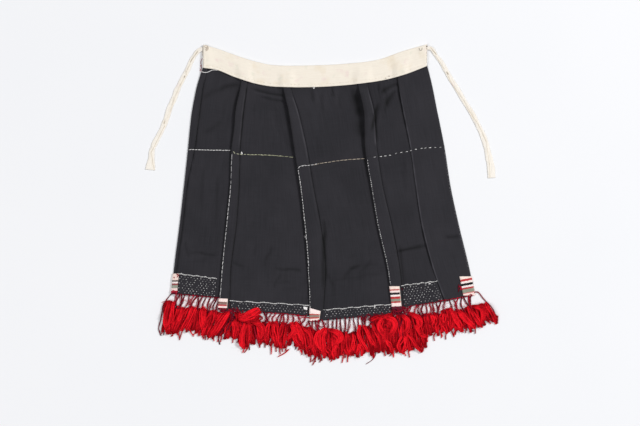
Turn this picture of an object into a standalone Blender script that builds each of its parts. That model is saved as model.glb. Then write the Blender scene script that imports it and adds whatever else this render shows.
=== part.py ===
"""Waist apron of black cotton with a netted red wool fringe, laid flat and face up on a surface.

The cloth is a wall run through sections across the apron. Each knife pleat is a real Z of three layers: the
cloth runs under to the return line, back to the fold line, and over the top again. Its frame: +X to the right
of the laid apron, +Y towards the waistband, +Z up off the surface, origin under the middle of its box.
Tables and sizes are in millimetres, and turn to metres where a mesh is made.
"""

import math
from typing import NamedTuple

import bmesh
import bpy

MM = 0.001

WALL = 1.0  # thickness of one layer of cloth
GAP = 0.3  # air between layers, and between pieces at a seam
LAYER = WALL + GAP
FOLD_RADIUS = LAYER / 2  # middle of the wall round a pressed fold
HALF = WALL / 2
HALF_SEAM = 0.2  # the two cloths part by twice this along the cross seam

BASE_Z = HALF  # middle of the layer that lies on the surface
MIDDLE_Z = BASE_Z + LAYER
TOP_Z = MIDDLE_Z + LAYER

BLACK_COTTON = ("black_cotton", "#35343A", 0.9)
CREAM_COTTON = ("cream_cotton", "#F4ECDE", 0.85)
STRIPED_WEAVE = ("striped_weave", "#C9938A", 0.9)
PLUM_STRING = ("plum_string", "#4A1420", 0.85)
RED_WOOL = ("red_wool", "#CF1C2C", 0.95)


class Section(NamedTuple):
    """Where each edge and fold line crosses one height of the apron."""

    height: float
    left_edge: float
    hem_turn: float
    fold_1: float
    return_1: float
    fold_2: float
    return_2: float
    fold_3: float
    return_3: float
    fold_4: float
    right_edge: float


# fmt: off
#       height  left  turn  fold1 ret.1 fold2 ret.2 fold3 ret.3 fold4 right
SECTIONS = (
    Section(-210, -268, -257, -181, -164, -20, 0, 126, 142, 229, 275),
    Section(-160, -263, -252, -177, -161, -20, 3, 121, 139, 211, 266),
    Section(-110, -257, -248, -173, -159, -23, 5, 114, 134, 193, 256),
    Section(-40, -247, -239, -166, -150, -29, -3, 98, 121, 175, 239),
    Section(30, -239, -231, -159, -145, -37, -16, 86, 105, 164, 224),
    Section(95, -232, -220, -156, -143, -47, -27, 76, 95, 155, 214),
    Section(160, -225, -211, -149, -137, -57, -42, 74, 90, 142, 201),
    Section(205, -216, -202, -140, -131, -67, -56, 64, 79, 134, 192),
    Section(245, -203, -191, -137, -128, -71, -60, 59, 75, 130, 182),
)
# fmt: on


class Panel(NamedTuple):
    """One panel, from its own fold to the hidden return under the next one, with its seam and hem heights."""

    starts: str
    ends: str
    seam_left: float
    seam_right: float
    hem_left: float
    hem_right: float


PANELS = (
    Panel("left_edge", "return_1", 93, 92, -155, -166),
    Panel("fold_1", "return_2", 88, 78, -183, -195),
    Panel("fold_2", "return_3", 63, 78, -204, -190),
    Panel("fold_3", "return_4", 79, 92, -183, -168),
    Panel("fold_4", "right_edge", 93, 97, -168, -157),
)

PLEAT_4_UNDERLAP = 10
STEP_FROM_RETURN = 1.0  # the hidden fold stops this far short of the line where the top layer steps down


class Crown(NamedTuple):
    """How far the top layer of a pleat stands up between its fold and its return line."""

    above_seam: float
    below_seam: float


CROWNS = (Crown(0.6, 0.3), Crown(0.6, 1.8), Crown(2.2, 0.5), Crown(0.3, 0.2))


class BandStation(NamedTuple):
    """Top and bottom edge of the waistband at one place along it."""

    along: float
    top: float
    bottom: float


WAISTBAND = (
    BandStation(-206, 275.5, 235),
    BandStation(-180, 268, 231),
    BandStation(-152, 258, 219.5),
    BandStation(-118, 247, 208.5),
    BandStation(-83, 240, 202.5),
    BandStation(-20, 239.5, 201.5),
    BandStation(42, 242.5, 205),
    BandStation(98, 249.5, 212),
    BandStation(140, 264, 222),
    BandStation(184, 276.5, 238.5),
)
TUCK = 8  # how far the cloth runs up inside the waistband
BAND_RISE = 8  # length over which the front of the waistband climbs onto a pleat
BAND_CLEAR = 1.6  # room beside a pleat before that climb starts
TIE_ROOM = 12  # length at each end where the waistband also holds a tie

UPPER_ROWS = (  # share of the way down from the waist to the seam, and height off the surface
    (0.0, LAYER),
    (0.07, LAYER),
    (0.18, 0.0),
    (0.38, 0.0),
    (0.58, 0.0),
    (0.79, 0.0),
    (1.0, 0.0),
)
LOWER_ROWS = (0.0, 0.12, 0.27, 0.42, 0.57, 0.71, 0.85, 1.0)


def smooth(x, knots):
    """Reads the smooth curve through (x, value) knots in rising order."""
    position = 0
    while position < len(knots) - 2 and x > knots[position + 1][0]:
        position += 1
    (x0, v0), (x1, v1) = knots[position], knots[position + 1]
    before = knots[max(position - 1, 0)]
    after = knots[min(position + 2, len(knots) - 1)]
    span = x1 - x0
    slope_0 = (v1 - before[1]) / (x1 - before[0]) * span
    slope_1 = (after[1] - v0) / (after[0] - x0) * span
    t = (x - x0) / span
    rise = v1 - v0
    return v0 + t * slope_0 + t * t * (3 * rise - 2 * slope_0 - slope_1) + t**3 * (slope_0 + slope_1 - 2 * rise)


def straight(x, knots):
    """Reads the straight runs through (x, value) knots in rising order."""
    for (x0, v0), (x1, v1) in zip(knots, knots[1:]):
        if x <= x1:
            return v0 + (v1 - v0) * max(x - x0, 0) / (x1 - x0)
    return knots[-1][1]


def mix(a, b, share):
    return a + (b - a) * share


def line_x(line, height):
    """Where an edge or fold line lies at a height."""
    if line == "return_4":
        return line_x("fold_4", height) + PLEAT_4_UNDERLAP
    return smooth(height, [(section.height, getattr(section, line)) for section in SECTIONS])


def band_top(x):
    return smooth(x, [(station.along, station.top) for station in WAISTBAND])


def band_bottom(x):
    return smooth(x, [(station.along, station.bottom) for station in WAISTBAND])


def upper_height(panel, share, down):
    """Height of a point of a panel between the waist, at down 0, and the seam, at down 1."""
    waist_x = mix(line_x(panel.starts, 220), line_x(panel.ends, 220), share)
    waist = band_bottom(waist_x) + TUCK
    seam = mix(panel.seam_left, panel.seam_right, share) + HALF_SEAM
    return mix(waist, seam, down)


def lower_height(panel, share, down):
    """Height of a point of a panel between the seam, at down 0, and the hem, at down 1."""
    seam = mix(panel.seam_left, panel.seam_right, share) - HALF_SEAM
    return mix(seam, mix(panel.hem_left, panel.hem_right, share), down)


class Station(NamedTuple):
    """One place along a section: its panel, share of the panel, lines it lies between, and its layer."""

    panel: Panel
    share: float
    line: str
    other: str
    part: float
    nudge: float
    z: float
    side_x: float
    side_z: float
    pleat: int = 0


def on_line(panel, line, nudge, z, side, share, pleat=0):
    return Station(panel, share, line, line, 0, nudge, z, side[0], side[1], pleat)


UP = (0.0, 1.0)
DOWN = (0.0, -1.0)


def pressed_fold(panel, line, way, low_z, share, facing, nudge=0.0):
    """Three stations round a fold that joins the layer at low_z to the one above; way is +1 where it bulges right."""
    stations = []
    for turn in (-90, 0, 90):
        across = math.cos(math.radians(turn)) * way
        up = math.sin(math.radians(turn))
        stations.append(
            on_line(
                panel,
                line,
                nudge + (across - way) * FOLD_RADIUS,
                low_z + FOLD_RADIUS * (1 + up),
                (across * facing, up * facing),
                share,
            )
        )
    return stations


def share_of(panel, line):
    """Share of the panel's width at which one of its inner lines lies, read half way down."""
    left = line_x(panel.starts, 0)
    right = line_x(panel.ends, 0)
    return (line_x(line, 0) - left) / (right - left)


def step_down(panel, line):
    """The top layer passes over the hidden fold, turns down beside it and runs out onto the surface."""
    share = share_of(panel, line)
    slope = math.sqrt(0.5)
    return [
        on_line(panel, line, -0.6, TOP_Z, UP, share),
        on_line(panel, line, 0.7, TOP_Z - 0.55, (slope, slope), share),
        on_line(panel, line, 2.2, BASE_Z + 0.55, (slope * 0.8, slope * 1.15), share),
        on_line(panel, line, 3.6, BASE_Z, UP, share),
    ]


def cloth_stations():
    """A whole section of the apron, from the raw edge of the left hem to the right edge."""
    first = PANELS[0]
    stations = [on_line(first, "hem_turn", 0, MIDDLE_Z, DOWN, share_of(first, "hem_turn"))]
    stations += reversed(pressed_fold(first, "left_edge", -1, BASE_Z, 0, -1))
    for number, (panel, following) in enumerate(zip(PANELS, PANELS[1:]), 1):
        fold = following.starts
        hidden = panel.ends
        before = "hem_turn" if number == 1 else PANELS[number - 2].ends
        middle = (share_of(panel, before) + share_of(panel, fold)) / 2
        stations.append(Station(panel, middle, before, fold, 0.5, 0, BASE_Z, *UP))
        stations += pressed_fold(panel, hidden, 1, BASE_Z, 1, -1, -STEP_FROM_RETURN)
        stations += pressed_fold(following, fold, -1, MIDDLE_Z, 0, 1)
        crown_share = share_of(following, hidden) * 0.5
        stations.append(Station(following, crown_share, fold, hidden, 0.5, 0, TOP_Z, *UP, pleat=number))
        stations += step_down(following, hidden)
    last = PANELS[-1]
    for part in (0.5, 1.0):
        stations.append(Station(last, mix(0.2, 1.0, part), "return_4", "right_edge", part, 0, BASE_Z, *UP))
    return stations


def wall_ring(stations, height_of, down, lift, crown_of):
    """Both faces of the wall along one section, as one closed loop of points."""
    faces = ([], [])
    for station in stations:
        y = height_of(station.panel, station.share, down)
        x = mix(line_x(station.line, y), line_x(station.other, y), station.part) + station.nudge
        z = station.z + lift + (crown_of(station.pleat, down) if station.pleat else 0)
        for face, way in zip(faces, (HALF, -HALF)):
            face.append((x + station.side_x * way, y, z + station.side_z * way))
    return faces[0] + faces[1][::-1]


def linear(channel):
    return channel / 12.92 if channel <= 0.04045 else ((channel + 0.055) / 1.055) ** 2.4


def finish(name, colour, roughness):
    """The material of a piece: a plain finish in the colour of the real cloth or yarn."""
    material = bpy.data.materials.new(name)
    material.use_nodes = True
    shader = material.node_tree.nodes["Principled BSDF"]
    rgb = [linear(int(colour[start : start + 2], 16) / 255) for start in (1, 3, 5)]
    shader.inputs["Base Color"].default_value = (*rgb, 1)
    shader.inputs["Roughness"].default_value = roughness
    shader.inputs["Metallic"].default_value = 0
    material.diffuse_color = (*rgb, 1)
    return material


def solid(name, points, faces, look):
    """A closed body from its points and faces, as its own object."""
    mesh = bpy.data.meshes.new(name)
    mesh.from_pydata([(x * MM, y * MM, z * MM) for x, y, z in points], [], faces)
    shape = bmesh.new()
    shape.from_mesh(mesh)
    bmesh.ops.recalc_face_normals(shape, faces=shape.faces)
    shape.to_mesh(mesh)
    shape.free()
    piece = bpy.data.objects.new(name, mesh)
    bpy.context.scene.collection.objects.link(piece)
    material_name, colour, roughness = look
    mesh.materials.append(finish(f"{material_name}_{name}", colour, roughness))
    return piece


def run(name, rings, look):
    """A body run through rings. Each ring's first half is one face of a wall, and its second half the other.

    The two faces are cut into triangles along the same diagonals, so that a twisted wall keeps its thickness.
    """
    size = len(rings[0])
    points = [point for ring in rings for point in ring]
    faces = []
    for row in range(len(rings) - 1):
        low, high = row * size, (row + 1) * size
        for place in range(size):
            following = (place + 1) % size
            near, far = (low + place, low + following), (high + place, high + following)
            if place < size // 2:
                faces += [(near[0], near[1], far[1]), (near[0], far[1], far[0])]
            else:
                faces += [(near[0], near[1], far[0]), (near[1], far[1], far[0])]
    for start in (0, (len(rings) - 1) * size):
        for place in range(size // 2 - 1):
            opposite = size - 1 - place
            faces.append((start + place, start + place + 1, start + opposite - 1, start + opposite))
    return solid(name, points, faces, look)


def crown_above(pleat, down):
    """Rise of a pleat's top layer above the seam: none inside the waistband."""
    free = max(down - UPPER_ROWS[1][0], 0) / (1 - UPPER_ROWS[1][0])
    crown = CROWNS[pleat - 1]
    return crown.above_seam * math.sin(math.pi * free) + crown.below_seam * free**4


def crown_below(pleat, down):
    """Rise of a pleat's top layer below the seam: none where a tab lies on it."""
    return CROWNS[pleat - 1].below_seam * math.cos(math.pi / 2 * min(down / LOWER_ROWS[-2], 1))


def make_cloth():
    """The upper cloth down to the cross seam, and the lower cloth from there to the hem."""
    stations = cloth_stations()
    upper = [wall_ring(stations, upper_height, down, lift, crown_above) for down, lift in UPPER_ROWS]
    lower = [wall_ring(stations, lower_height, down, 0, crown_below) for down in LOWER_ROWS]
    run("cloth_upper", upper, BLACK_COTTON)
    run("cloth_lower", lower, BLACK_COTTON)


def layers_under_band():
    """Knots of (place along the band, number of cloth layers there)."""
    turn = line_x("hem_turn", band_bottom(line_x("hem_turn", 230)))
    knots = [(WAISTBAND[0].along, 2), (turn + BAND_CLEAR, 2), (turn + BAND_CLEAR + BAND_RISE, 1)]
    for panel, following in zip(PANELS, PANELS[1:]):
        fold = line_x(following.starts, band_bottom(line_x(following.starts, 210)))
        back = line_x(panel.ends, band_bottom(line_x(panel.ends, 210)))
        knots += [
            (fold - BAND_CLEAR - BAND_RISE, 1),
            (fold - BAND_CLEAR, 3),
            (back + BAND_CLEAR + 1, 3),
            (back + BAND_CLEAR + 1 + BAND_RISE, 1),
        ]
    knots.append((WAISTBAND[-1].along, 1))
    return knots


def make_waistband():
    """A strip of cotton folded over the top edge of the cloth, with a leaf behind it and one in front."""
    knots = layers_under_band()
    plain = [station.along for station in WAISTBAND]
    places = sorted({place for place, _ in knots} | {x for x in plain if all(abs(x - k) > 6 for k, _ in knots)})
    ends = (WAISTBAND[0].along, WAISTBAND[-1].along)
    for end, way in zip(ends, (1, -1)):
        places += [end + way * TIE_ROOM, end + way * (TIE_ROOM + 10)]
    rings = []
    for x in sorted(set(places)):
        from_end = min(x - ends[0], ends[1] - x)
        leaf_gap = LAYER * (1 + straight(from_end, ((0, 1), (TIE_ROOM, 1), (TIE_ROOM + 10, 0))))
        radius = leaf_gap / 2
        front = BASE_Z + LAYER * (2 + straight(x, knots) - 1)
        top = band_top(x) - HALF - radius
        bottom = band_bottom(x)
        centres = [(bottom, BASE_Z, 0, 1), (top, BASE_Z, 0, 1)]
        for turn in (-45, 0, 45):
            up, out = math.sin(math.radians(turn)), math.cos(math.radians(turn))
            centres.append((top + radius * out, BASE_Z + radius * (1 + up), -out, -up))
        centres += [(top, BASE_Z + leaf_gap, 0, -1), (bottom + TUCK + 3, front, 0, -1), (bottom, front, 0, -1)]
        inner = [(x, y + out * HALF, z + up * HALF) for y, z, out, up in centres]
        outer = [(x, y - out * HALF, z - up * HALF) for y, z, out, up in centres]
        rings.append(inner + outer[::-1])
    run("waistband", rings, CREAM_COTTON)


class TieStation(NamedTuple):
    """A place along the middle of a tie, with the tape's width and the height of its middle."""

    x: float
    y: float
    width: float
    z: float


ROOT_Z = BASE_Z + LAYER  # the root lies between the two leaves of the waistband

LEFT_TIE = (
    TieStation(-198, 268, 6, ROOT_Z),
    TieStation(-208, 268, 6, ROOT_Z),
    TieStation(-216, 263, 7, 1.2),
    TieStation(-226, 248, 8, BASE_Z),
    TieStation(-233, 232, 8, BASE_Z),
    TieStation(-241, 217, 8.5, BASE_Z),
    TieStation(-251, 197, 9, BASE_Z),
    TieStation(-256, 183, 9, BASE_Z),
    TieStation(-264, 166, 9.5, BASE_Z),
    TieStation(-269.5, 148, 9, BASE_Z),
    TieStation(-279, 125, 9, BASE_Z),
    TieStation(-288, 108, 9, BASE_Z),
    TieStation(-294.5, 93, 9, BASE_Z),
    TieStation(-296, 77, 11, BASE_Z),
    TieStation(-298, 58, 16, BASE_Z),
)
RIGHT_TIE = (
    TieStation(177, 268, 5.5, ROOT_Z),
    TieStation(187, 270, 5.5, ROOT_Z),
    TieStation(193, 267, 6, 1.2),
    TieStation(199, 257, 6.5, BASE_Z),
    TieStation(208, 246, 7, BASE_Z),
    TieStation(216.5, 230.5, 7.5, BASE_Z),
    TieStation(225, 216, 8, BASE_Z),
    TieStation(235, 200.5, 8, BASE_Z),
    TieStation(248.5, 177, 8, BASE_Z),
    TieStation(260, 159, 8, BASE_Z),
    TieStation(271, 138, 8.5, BASE_Z),
    TieStation(280, 119.5, 9, BASE_Z),
    TieStation(286.5, 100.5, 10, BASE_Z),
    TieStation(291, 80.5, 11, BASE_Z),
    TieStation(294.5, 64, 12, BASE_Z),
    TieStation(296, 44, 13.5, BASE_Z),
)


def make_tie(name, stations):
    """A cotton tape laid along its stations, square to its own direction."""
    rings = []
    for place, station in enumerate(stations):
        before = stations[max(place - 1, 0)]
        after = stations[min(place + 1, len(stations) - 1)]
        length = math.hypot(after.x - before.x, after.y - before.y)
        side_x = -(after.y - before.y) / length * station.width / 2
        side_y = (after.x - before.x) / length * station.width / 2
        corners = [(-1, HALF), (1, HALF), (1, -HALF), (-1, -HALF)]
        rings.append([(station.x + side_x * way, station.y + side_y * way, station.z + up) for way, up in corners])
    run(name, rings, CREAM_COTTON)


def hem_point(panel, line, down, nudge=0.0):
    """A point of the lower cloth in its last stretch above the hem, read between the wall's own two sections."""
    share = min(max(share_of(panel, line), 0), 1)
    ends = []
    for row in LOWER_ROWS[-2:]:
        y = lower_height(panel, share, row)
        ends.append((line_x(line, y), y))
    along = (down - LOWER_ROWS[-2]) / (LOWER_ROWS[-1] - LOWER_ROWS[-2])
    return mix(ends[0][0], ends[1][0], along) + nudge, mix(ends[0][1], ends[1][1], along)


class HemBand(NamedTuple):
    """A strip of cotton sewn on above the hem of a panel, between two of its lines."""

    panel: int
    starts: str
    start_nudge: float
    ends: str
    left_depth: float
    right_depth: float


HEM_BANDS = (
    HemBand(0, "hem_turn", 0.8, "fold_1", 34, 35),
    HemBand(1, "return_1", 4.6, "fold_2", 14, 17),
    HemBand(2, "return_2", 4.6, "fold_3", 18.5, 14.5),
    HemBand(3, "return_3", 4.6, "fold_4", 37, 34),
)
BAND_INSET = 0.6  # the hem band stops this far short of the hem
FOLD_CLEARANCE = 2.4  # and this far short of the next fold, past the tab on it
HEM_DROP = 255.0  # rough length of the lower cloth, which turns a depth into a share


def make_hem_bands():
    """Four strips that lie on the panels just above their hems."""
    low, high = MIDDLE_Z - HALF, MIDDLE_Z + HALF
    for number, band in enumerate(HEM_BANDS, 1):
        panel = PANELS[band.panel]
        rings = []
        for share in (0, 0.33, 0.67, 1):
            depth = mix(band.left_depth, band.right_depth, share)
            corners = []
            for down in (1 - depth / HEM_DROP, 1 - BAND_INSET / HEM_DROP):
                left = hem_point(panel, band.starts, down, band.start_nudge)
                right = hem_point(panel, band.ends, down, -FOLD_CLEARANCE)
                corners.append((mix(left[0], right[0], share), mix(left[1], right[1], share)))
            (top_x, top_y), (hem_x, hem_y) = corners
            rings.append([(top_x, top_y, high), (hem_x, hem_y, high), (hem_x, hem_y, low), (top_x, top_y, low)])
        run(f"hem_band_{number}", rings, BLACK_COTTON)


class Tab(NamedTuple):
    """A woven tab on the foot of a fold: the edge it is bent over, which way that is, and its size."""

    panel: int
    line: str
    way: int
    round_edge: float
    layers: int
    on_surface: bool
    width: float
    depth: float


TABS = (
    Tab(0, "left_edge", -1, HALF, 2, True, 10.4, 31),
    Tab(1, "fold_1", -1, HALF, 3, False, 15.5, 17.5),
    Tab(2, "fold_2", -1, HALF, 3, False, 18.5, 20),
    Tab(3, "fold_3", -1, HALF, 3, False, 15, 36),
    Tab(4, "right_edge", 1, 0, 1, True, 20, 35),
)


def make_tabs():
    """Five pieces of striped weave, each bent over the edge of the cloth at the foot of a fold."""
    slope = math.sqrt(0.5)
    for number, tab in enumerate(TABS, 1):
        front = BASE_Z + tab.layers * LAYER
        foot = 0 if tab.on_surface else LAYER
        reach = tab.round_edge + GAP + HALF
        radius = min(reach, 0.8)
        rings = []
        for down in (1 - tab.depth / HEM_DROP, 1 - tab.depth / HEM_DROP / 2, 1.0):
            edge_x, y = hem_point(PANELS[tab.panel], tab.line, down)
            out = edge_x + tab.way * reach
            turn_x, turn_z = out - tab.way * radius, front - radius
            centres = [
                (edge_x - tab.way * tab.width, front, 0, 1),
                (turn_x, front, 0, 1),
                (turn_x + tab.way * radius * slope, turn_z + radius * slope, tab.way * slope, slope),
                (out, turn_z, tab.way, 0),
                (out, foot, tab.way, 0),
            ]
            outer = [(x + side * HALF, y, z + up * HALF) for x, z, side, up in centres]
            inner = [(x - side * HALF, y, z - up * HALF) for x, z, side, up in centres]
            rings.append(outer + inner[::-1])
        run(f"tab_{number}", rings, STRIPED_WEAVE)


class FringeStation(NamedTuple):
    """One place along the fringe: where a tassel's head lies and where its ends reach."""

    head_x: float
    head_y: float
    tip_x: float
    tip_y: float


FRINGE = (
    FringeStation(-268, -171, -276, -213),
    FringeStation(-248, -175, -251, -232),
    FringeStation(-203, -186, -203, -230),
    FringeStation(-150, -194, -144, -248),
    FringeStation(-104, -206, -98, -249),
    FringeStation(-55, -206, -50, -257),
    FringeStation(-5, -218, -2, -273),
    FringeStation(41, -224, 45, -268),
    FringeStation(85, -206, 90, -262),
    FringeStation(145, -191, 151, -259),
    FringeStation(177, -193, 184, -241),
    FringeStation(215, -189, 224, -228),
    FringeStation(250, -183, 262, -219),
    FringeStation(281, -173, 299, -210),
)
TASSELS = 28
LOCKS = 5  # to a tassel
LOCK_ROOT = 2.4
LOCK_ROOT_GAP = 0.7
LOCK_SPREAD = 3.85  # from lock to lock once they have spread
LOCK_SPREAD_BY = 0.45  # share of the way down by which they have
LOCK_RINGS = (  # share of a lock's length, width and height there
    (0.16, 2.7, 3.0),
    (0.55, 3.2, 3.4),
    (0.86, 2.4, 2.2),
    (1.0, 1.1, 1.0),
)
HEAD_WIDTH = LOCKS * LOCK_ROOT + (LOCKS - 1) * LOCK_ROOT_GAP
HEAD_DEPTH = 4.5
HEAD_HEIGHT = 3.4
FLOOR_CLEARANCE = 0.4

NET_STRIP = 1.2  # depth of the strip along the hem that the strings are looped into
STRING_WIDTH = 1.0
STRING_THICKNESS = 0.7
SHORTEST_STRING = 3.0


def comb(name, stations, teeth, look):
    """A bar run through four-cornered stations, with a tooth drawn out of its front face at each key of teeth.

    A station's corners run: front low, front high, back high, back low. A tooth is a list of rings of four corners
    in the order near low, far low, far high, near high.
    """
    points = [point for station in stations for point in station]
    faces = []
    last = len(stations) - 1
    for place in range(last):
        low, high = place * 4, (place + 1) * 4
        for side in (1, 2, 3):
            following = (side + 1) % 4
            faces.append((low + side, low + following, high + following, high + side))
        edge = [low, high, high + 1, low + 1]
        if place not in teeth:
            faces.append(tuple(edge))
            continue
        for ring in teeth[place]:
            start = len(points)
            points += ring
            for side in range(4):
                following = (side + 1) % 4
                faces.append((edge[side], edge[following], start + following, start + side))
            edge = list(range(start, start + 4))
        faces.append(tuple(edge))
    for start in (0, last * 4):
        faces.append(tuple(range(start, start + 4)))
    return solid(name, points, faces, look)


def square_ring(x, y, z, width, height):
    """Four corners across a strand that runs down the apron."""
    return [
        (x - width / 2, y, z - height / 2),
        (x + width / 2, y, z - height / 2),
        (x + width / 2, y, z + height / 2),
        (x - width / 2, y, z + height / 2),
    ]


def scatter(number, least, most):
    """An uneven but repeatable value for the numbered strand."""
    fraction = math.sin(number * 12.9898 + 4.1414) * 43758.5453 % 1
    return mix(least, most, fraction)


def hem_height(panel_number, x):
    """Height of one panel's hem at a place along it, on the wall's own edge."""
    knots = {}
    for station in cloth_stations():
        if station.panel == PANELS[panel_number]:
            y = lower_height(station.panel, station.share, 1)
            place = mix(line_x(station.line, y), line_x(station.other, y), station.part) + station.nudge
            knots[round(place, 3)] = y
    return straight(x, sorted(knots.items()))


def hem_span(panel_number):
    """Left and right end of the stretch of a panel's hem that is clear of the panels beside it.

    Where two panels meet, the stretch that belongs to the lower hem of the two runs on under the fold.
    """
    panel = PANELS[panel_number]
    left = line_x(panel.starts, panel.hem_left)
    right = line_x(panel.ends, panel.hem_right) - STEP_FROM_RETURN
    if panel_number and not runs_under(panel_number):
        left = line_x(PANELS[panel_number - 1].ends, panel.hem_left) + 1
    if panel_number < len(PANELS) - 1 and runs_under(panel_number + 1):
        right = line_x(PANELS[panel_number + 1].starts, panel.hem_right) - FOLD_CLEARANCE - 1
    return left + 0.4, right


def runs_under(panel_number):
    """Whether a panel's hem lies well below the hidden hem of the panel before it."""
    return PANELS[panel_number].hem_left < PANELS[panel_number - 1].hem_right - 3


def tassel_places():
    """Head and tip of each tassel, evenly spaced along the fringe and clear of the hems above."""
    places = []
    first, last = FRINGE[0].head_x, FRINGE[-1].head_x
    half = HEAD_WIDTH / 2 + 1
    for number in range(TASSELS):
        x = mix(first, last, number / (TASSELS - 1))
        head_y, tip_x, tip_y = (
            smooth(x, [(station.head_x, getattr(station, column)) for station in FRINGE])
            for column in ("head_y", "tip_x", "tip_y")
        )
        hems = [
            hem_height(panel_number, x + side)
            for panel_number in range(len(PANELS))
            for side in (-half, half)
            if hem_span(panel_number)[0] - 3 < x + side < hem_span(panel_number)[1] + 6
        ]
        if hems:
            head_y = min(head_y, min(hems) - GAP - NET_STRIP - SHORTEST_STRING)
        places.append(FringeStation(x, head_y, tip_x, tip_y))
    return places


def make_tassel(number, place):
    """A wool tassel: a flat wrapped head with its locks drawn out of the lower side."""
    stations = []
    teeth = {}
    x = place.head_x - HEAD_WIDTH / 2
    for lock in range(LOCKS):
        teeth[len(stations)] = lock_rings(number * LOCKS + lock, lock, x + LOCK_ROOT / 2, place)
        for edge in (x, x + LOCK_ROOT):
            stations.append(head_station(edge, place.head_x, place.head_y))
        x += LOCK_ROOT + LOCK_ROOT_GAP
    comb(f"tassel_{number + 1:02d}", stations, teeth, RED_WOOL)


def head_crown(from_middle):
    """How full a tassel's head is at a place across it, 1 in the middle and less towards its two sides."""
    return 1 - 0.35 * (2 * from_middle / HEAD_WIDTH) ** 2


def head_station(x, head_x, head_y):
    """Four corners of the head at one place across it."""
    crown = head_crown(x - head_x)
    top = HEAD_HEIGHT * crown
    front = head_y - HEAD_DEPTH
    back = front + HEAD_DEPTH * crown
    return [(x, front, 0.0), (x, front, top), (x, back, top * 0.9), (x, back, 0.0)]


def lock_rings(seed, lock, root_x, place):
    """A lock of yarn: it swells below the head, leans with the fringe and tapers to its own uneven length."""
    offset = (lock - (LOCKS - 1) / 2) * LOCK_SPREAD
    front_y = place.head_y - HEAD_DEPTH
    end_y = place.tip_y + scatter(seed, -1.0, 9.0)
    rings = []
    for share, width, height in LOCK_RINGS:
        y = mix(front_y, end_y, share)
        down = (front_y - y) / (front_y - place.tip_y)
        spread = min(down / LOCK_SPREAD_BY, 1)
        x = mix(root_x, place.head_x + offset, spread) + (place.tip_x - place.head_x) * down
        x += scatter(seed + 0.5, -0.35, 0.35) * share
        rings.append(square_ring(x, y, FLOOR_CLEARANCE + height / 2, width, height))
    return rings


def make_net(panel_number, tassels):
    """The strings of one panel: a strip just outside the hem, with strings that run down to the tassel heads."""
    left, right = hem_span(panel_number)
    ends = []
    for number, place in tassels:
        for step in (-4.4, 0, 4.4) if number % 2 else (-2.6, 2.6):
            back = place.head_y - HEAD_DEPTH * (1 - head_crown(abs(step) - STRING_WIDTH / 2))
            ends.append((place.head_x + step, back + GAP))
    pitch = (right - left - 3) / len(ends)
    stations = [strip_station(panel_number, left)]
    teeth = {}
    for count, (end_x, end_y) in enumerate(ends):
        root = left + 1.5 + pitch * (count + 0.5)
        top = hem_height(panel_number, root) - GAP - NET_STRIP
        teeth[len(stations)] = string_rings(count + panel_number * 31, root, top, end_x, end_y)
        stations.append(strip_station(panel_number, root - STRING_WIDTH / 2))
        stations.append(strip_station(panel_number, root + STRING_WIDTH / 2))
    stations.append(strip_station(panel_number, right))
    comb(f"net_{panel_number + 1}", stations, teeth, PLUM_STRING)


def strip_station(panel_number, x):
    """Four corners of the strip at one place, just outside the hem and resting on the surface."""
    back = hem_height(panel_number, x) - GAP
    front = back - NET_STRIP
    return [(x, front, 0.0), (x, front, WALL), (x, back, WALL), (x, back, 0.0)]


def string_rings(seed, root, top, end_x, end_y):
    """One string: it leaves the strip, bows a little to one side and stops just short of the tassel."""
    z = FLOOR_CLEARANCE + STRING_THICKNESS / 2
    bow = scatter(seed, -0.6, 0.6)
    rings = []
    for share in (0.35, 1.0):
        x = mix(root, end_x, share) + bow * math.sin(math.pi * share)
        rings.append(square_ring(x, mix(top, end_y, share), z, STRING_WIDTH, STRING_THICKNESS))
    return rings


def make_fringe():
    """Every tassel, and one run of net strings for each panel above them."""
    places = tassel_places()
    for number, place in enumerate(places):
        make_tassel(number, place)
    starts = [hem_span(panel_number)[0] for panel_number in range(len(PANELS))]
    for panel_number in range(len(PANELS)):
        low = starts[panel_number] if panel_number else -math.inf
        high = starts[panel_number + 1] if panel_number + 1 < len(PANELS) else math.inf
        held = [(number, place) for number, place in enumerate(places) if low <= place.head_x < high]
        make_net(panel_number, held)


for leftover in list(bpy.data.objects):
    bpy.data.objects.remove(leftover, do_unlink=True)

make_cloth()
make_waistband()
make_tie("tie_left", LEFT_TIE)
make_tie("tie_right", RIGHT_TIE)
make_hem_bands()
make_tabs()
make_fringe()
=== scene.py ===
"""Looks of the waist apron: black cotton in knife pleats, a cream waistband and a netted red wool fringe.

It lies flat and face up. +X is to the right of the laid apron, +Y towards the waistband, +Z off the table.
Tables and sizes are in millimetres, and turn to metres where a mesh is made.
"""

import math
from typing import NamedTuple

import bpy
import numpy as np
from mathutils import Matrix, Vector
from mathutils.bvhtree import BVHTree


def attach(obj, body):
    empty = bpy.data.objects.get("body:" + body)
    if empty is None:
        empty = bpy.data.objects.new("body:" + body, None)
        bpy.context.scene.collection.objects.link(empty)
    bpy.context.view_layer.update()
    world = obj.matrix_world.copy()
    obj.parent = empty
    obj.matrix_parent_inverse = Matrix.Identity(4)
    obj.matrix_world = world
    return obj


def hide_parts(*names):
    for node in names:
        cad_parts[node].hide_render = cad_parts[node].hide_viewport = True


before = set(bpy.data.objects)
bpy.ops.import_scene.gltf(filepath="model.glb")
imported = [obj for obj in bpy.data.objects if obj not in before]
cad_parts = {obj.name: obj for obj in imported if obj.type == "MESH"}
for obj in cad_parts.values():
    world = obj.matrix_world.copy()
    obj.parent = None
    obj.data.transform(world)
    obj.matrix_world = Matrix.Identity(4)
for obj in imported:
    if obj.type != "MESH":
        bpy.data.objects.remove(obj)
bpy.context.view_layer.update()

bpy.ops.object.select_all(action="DESELECT")

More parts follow.
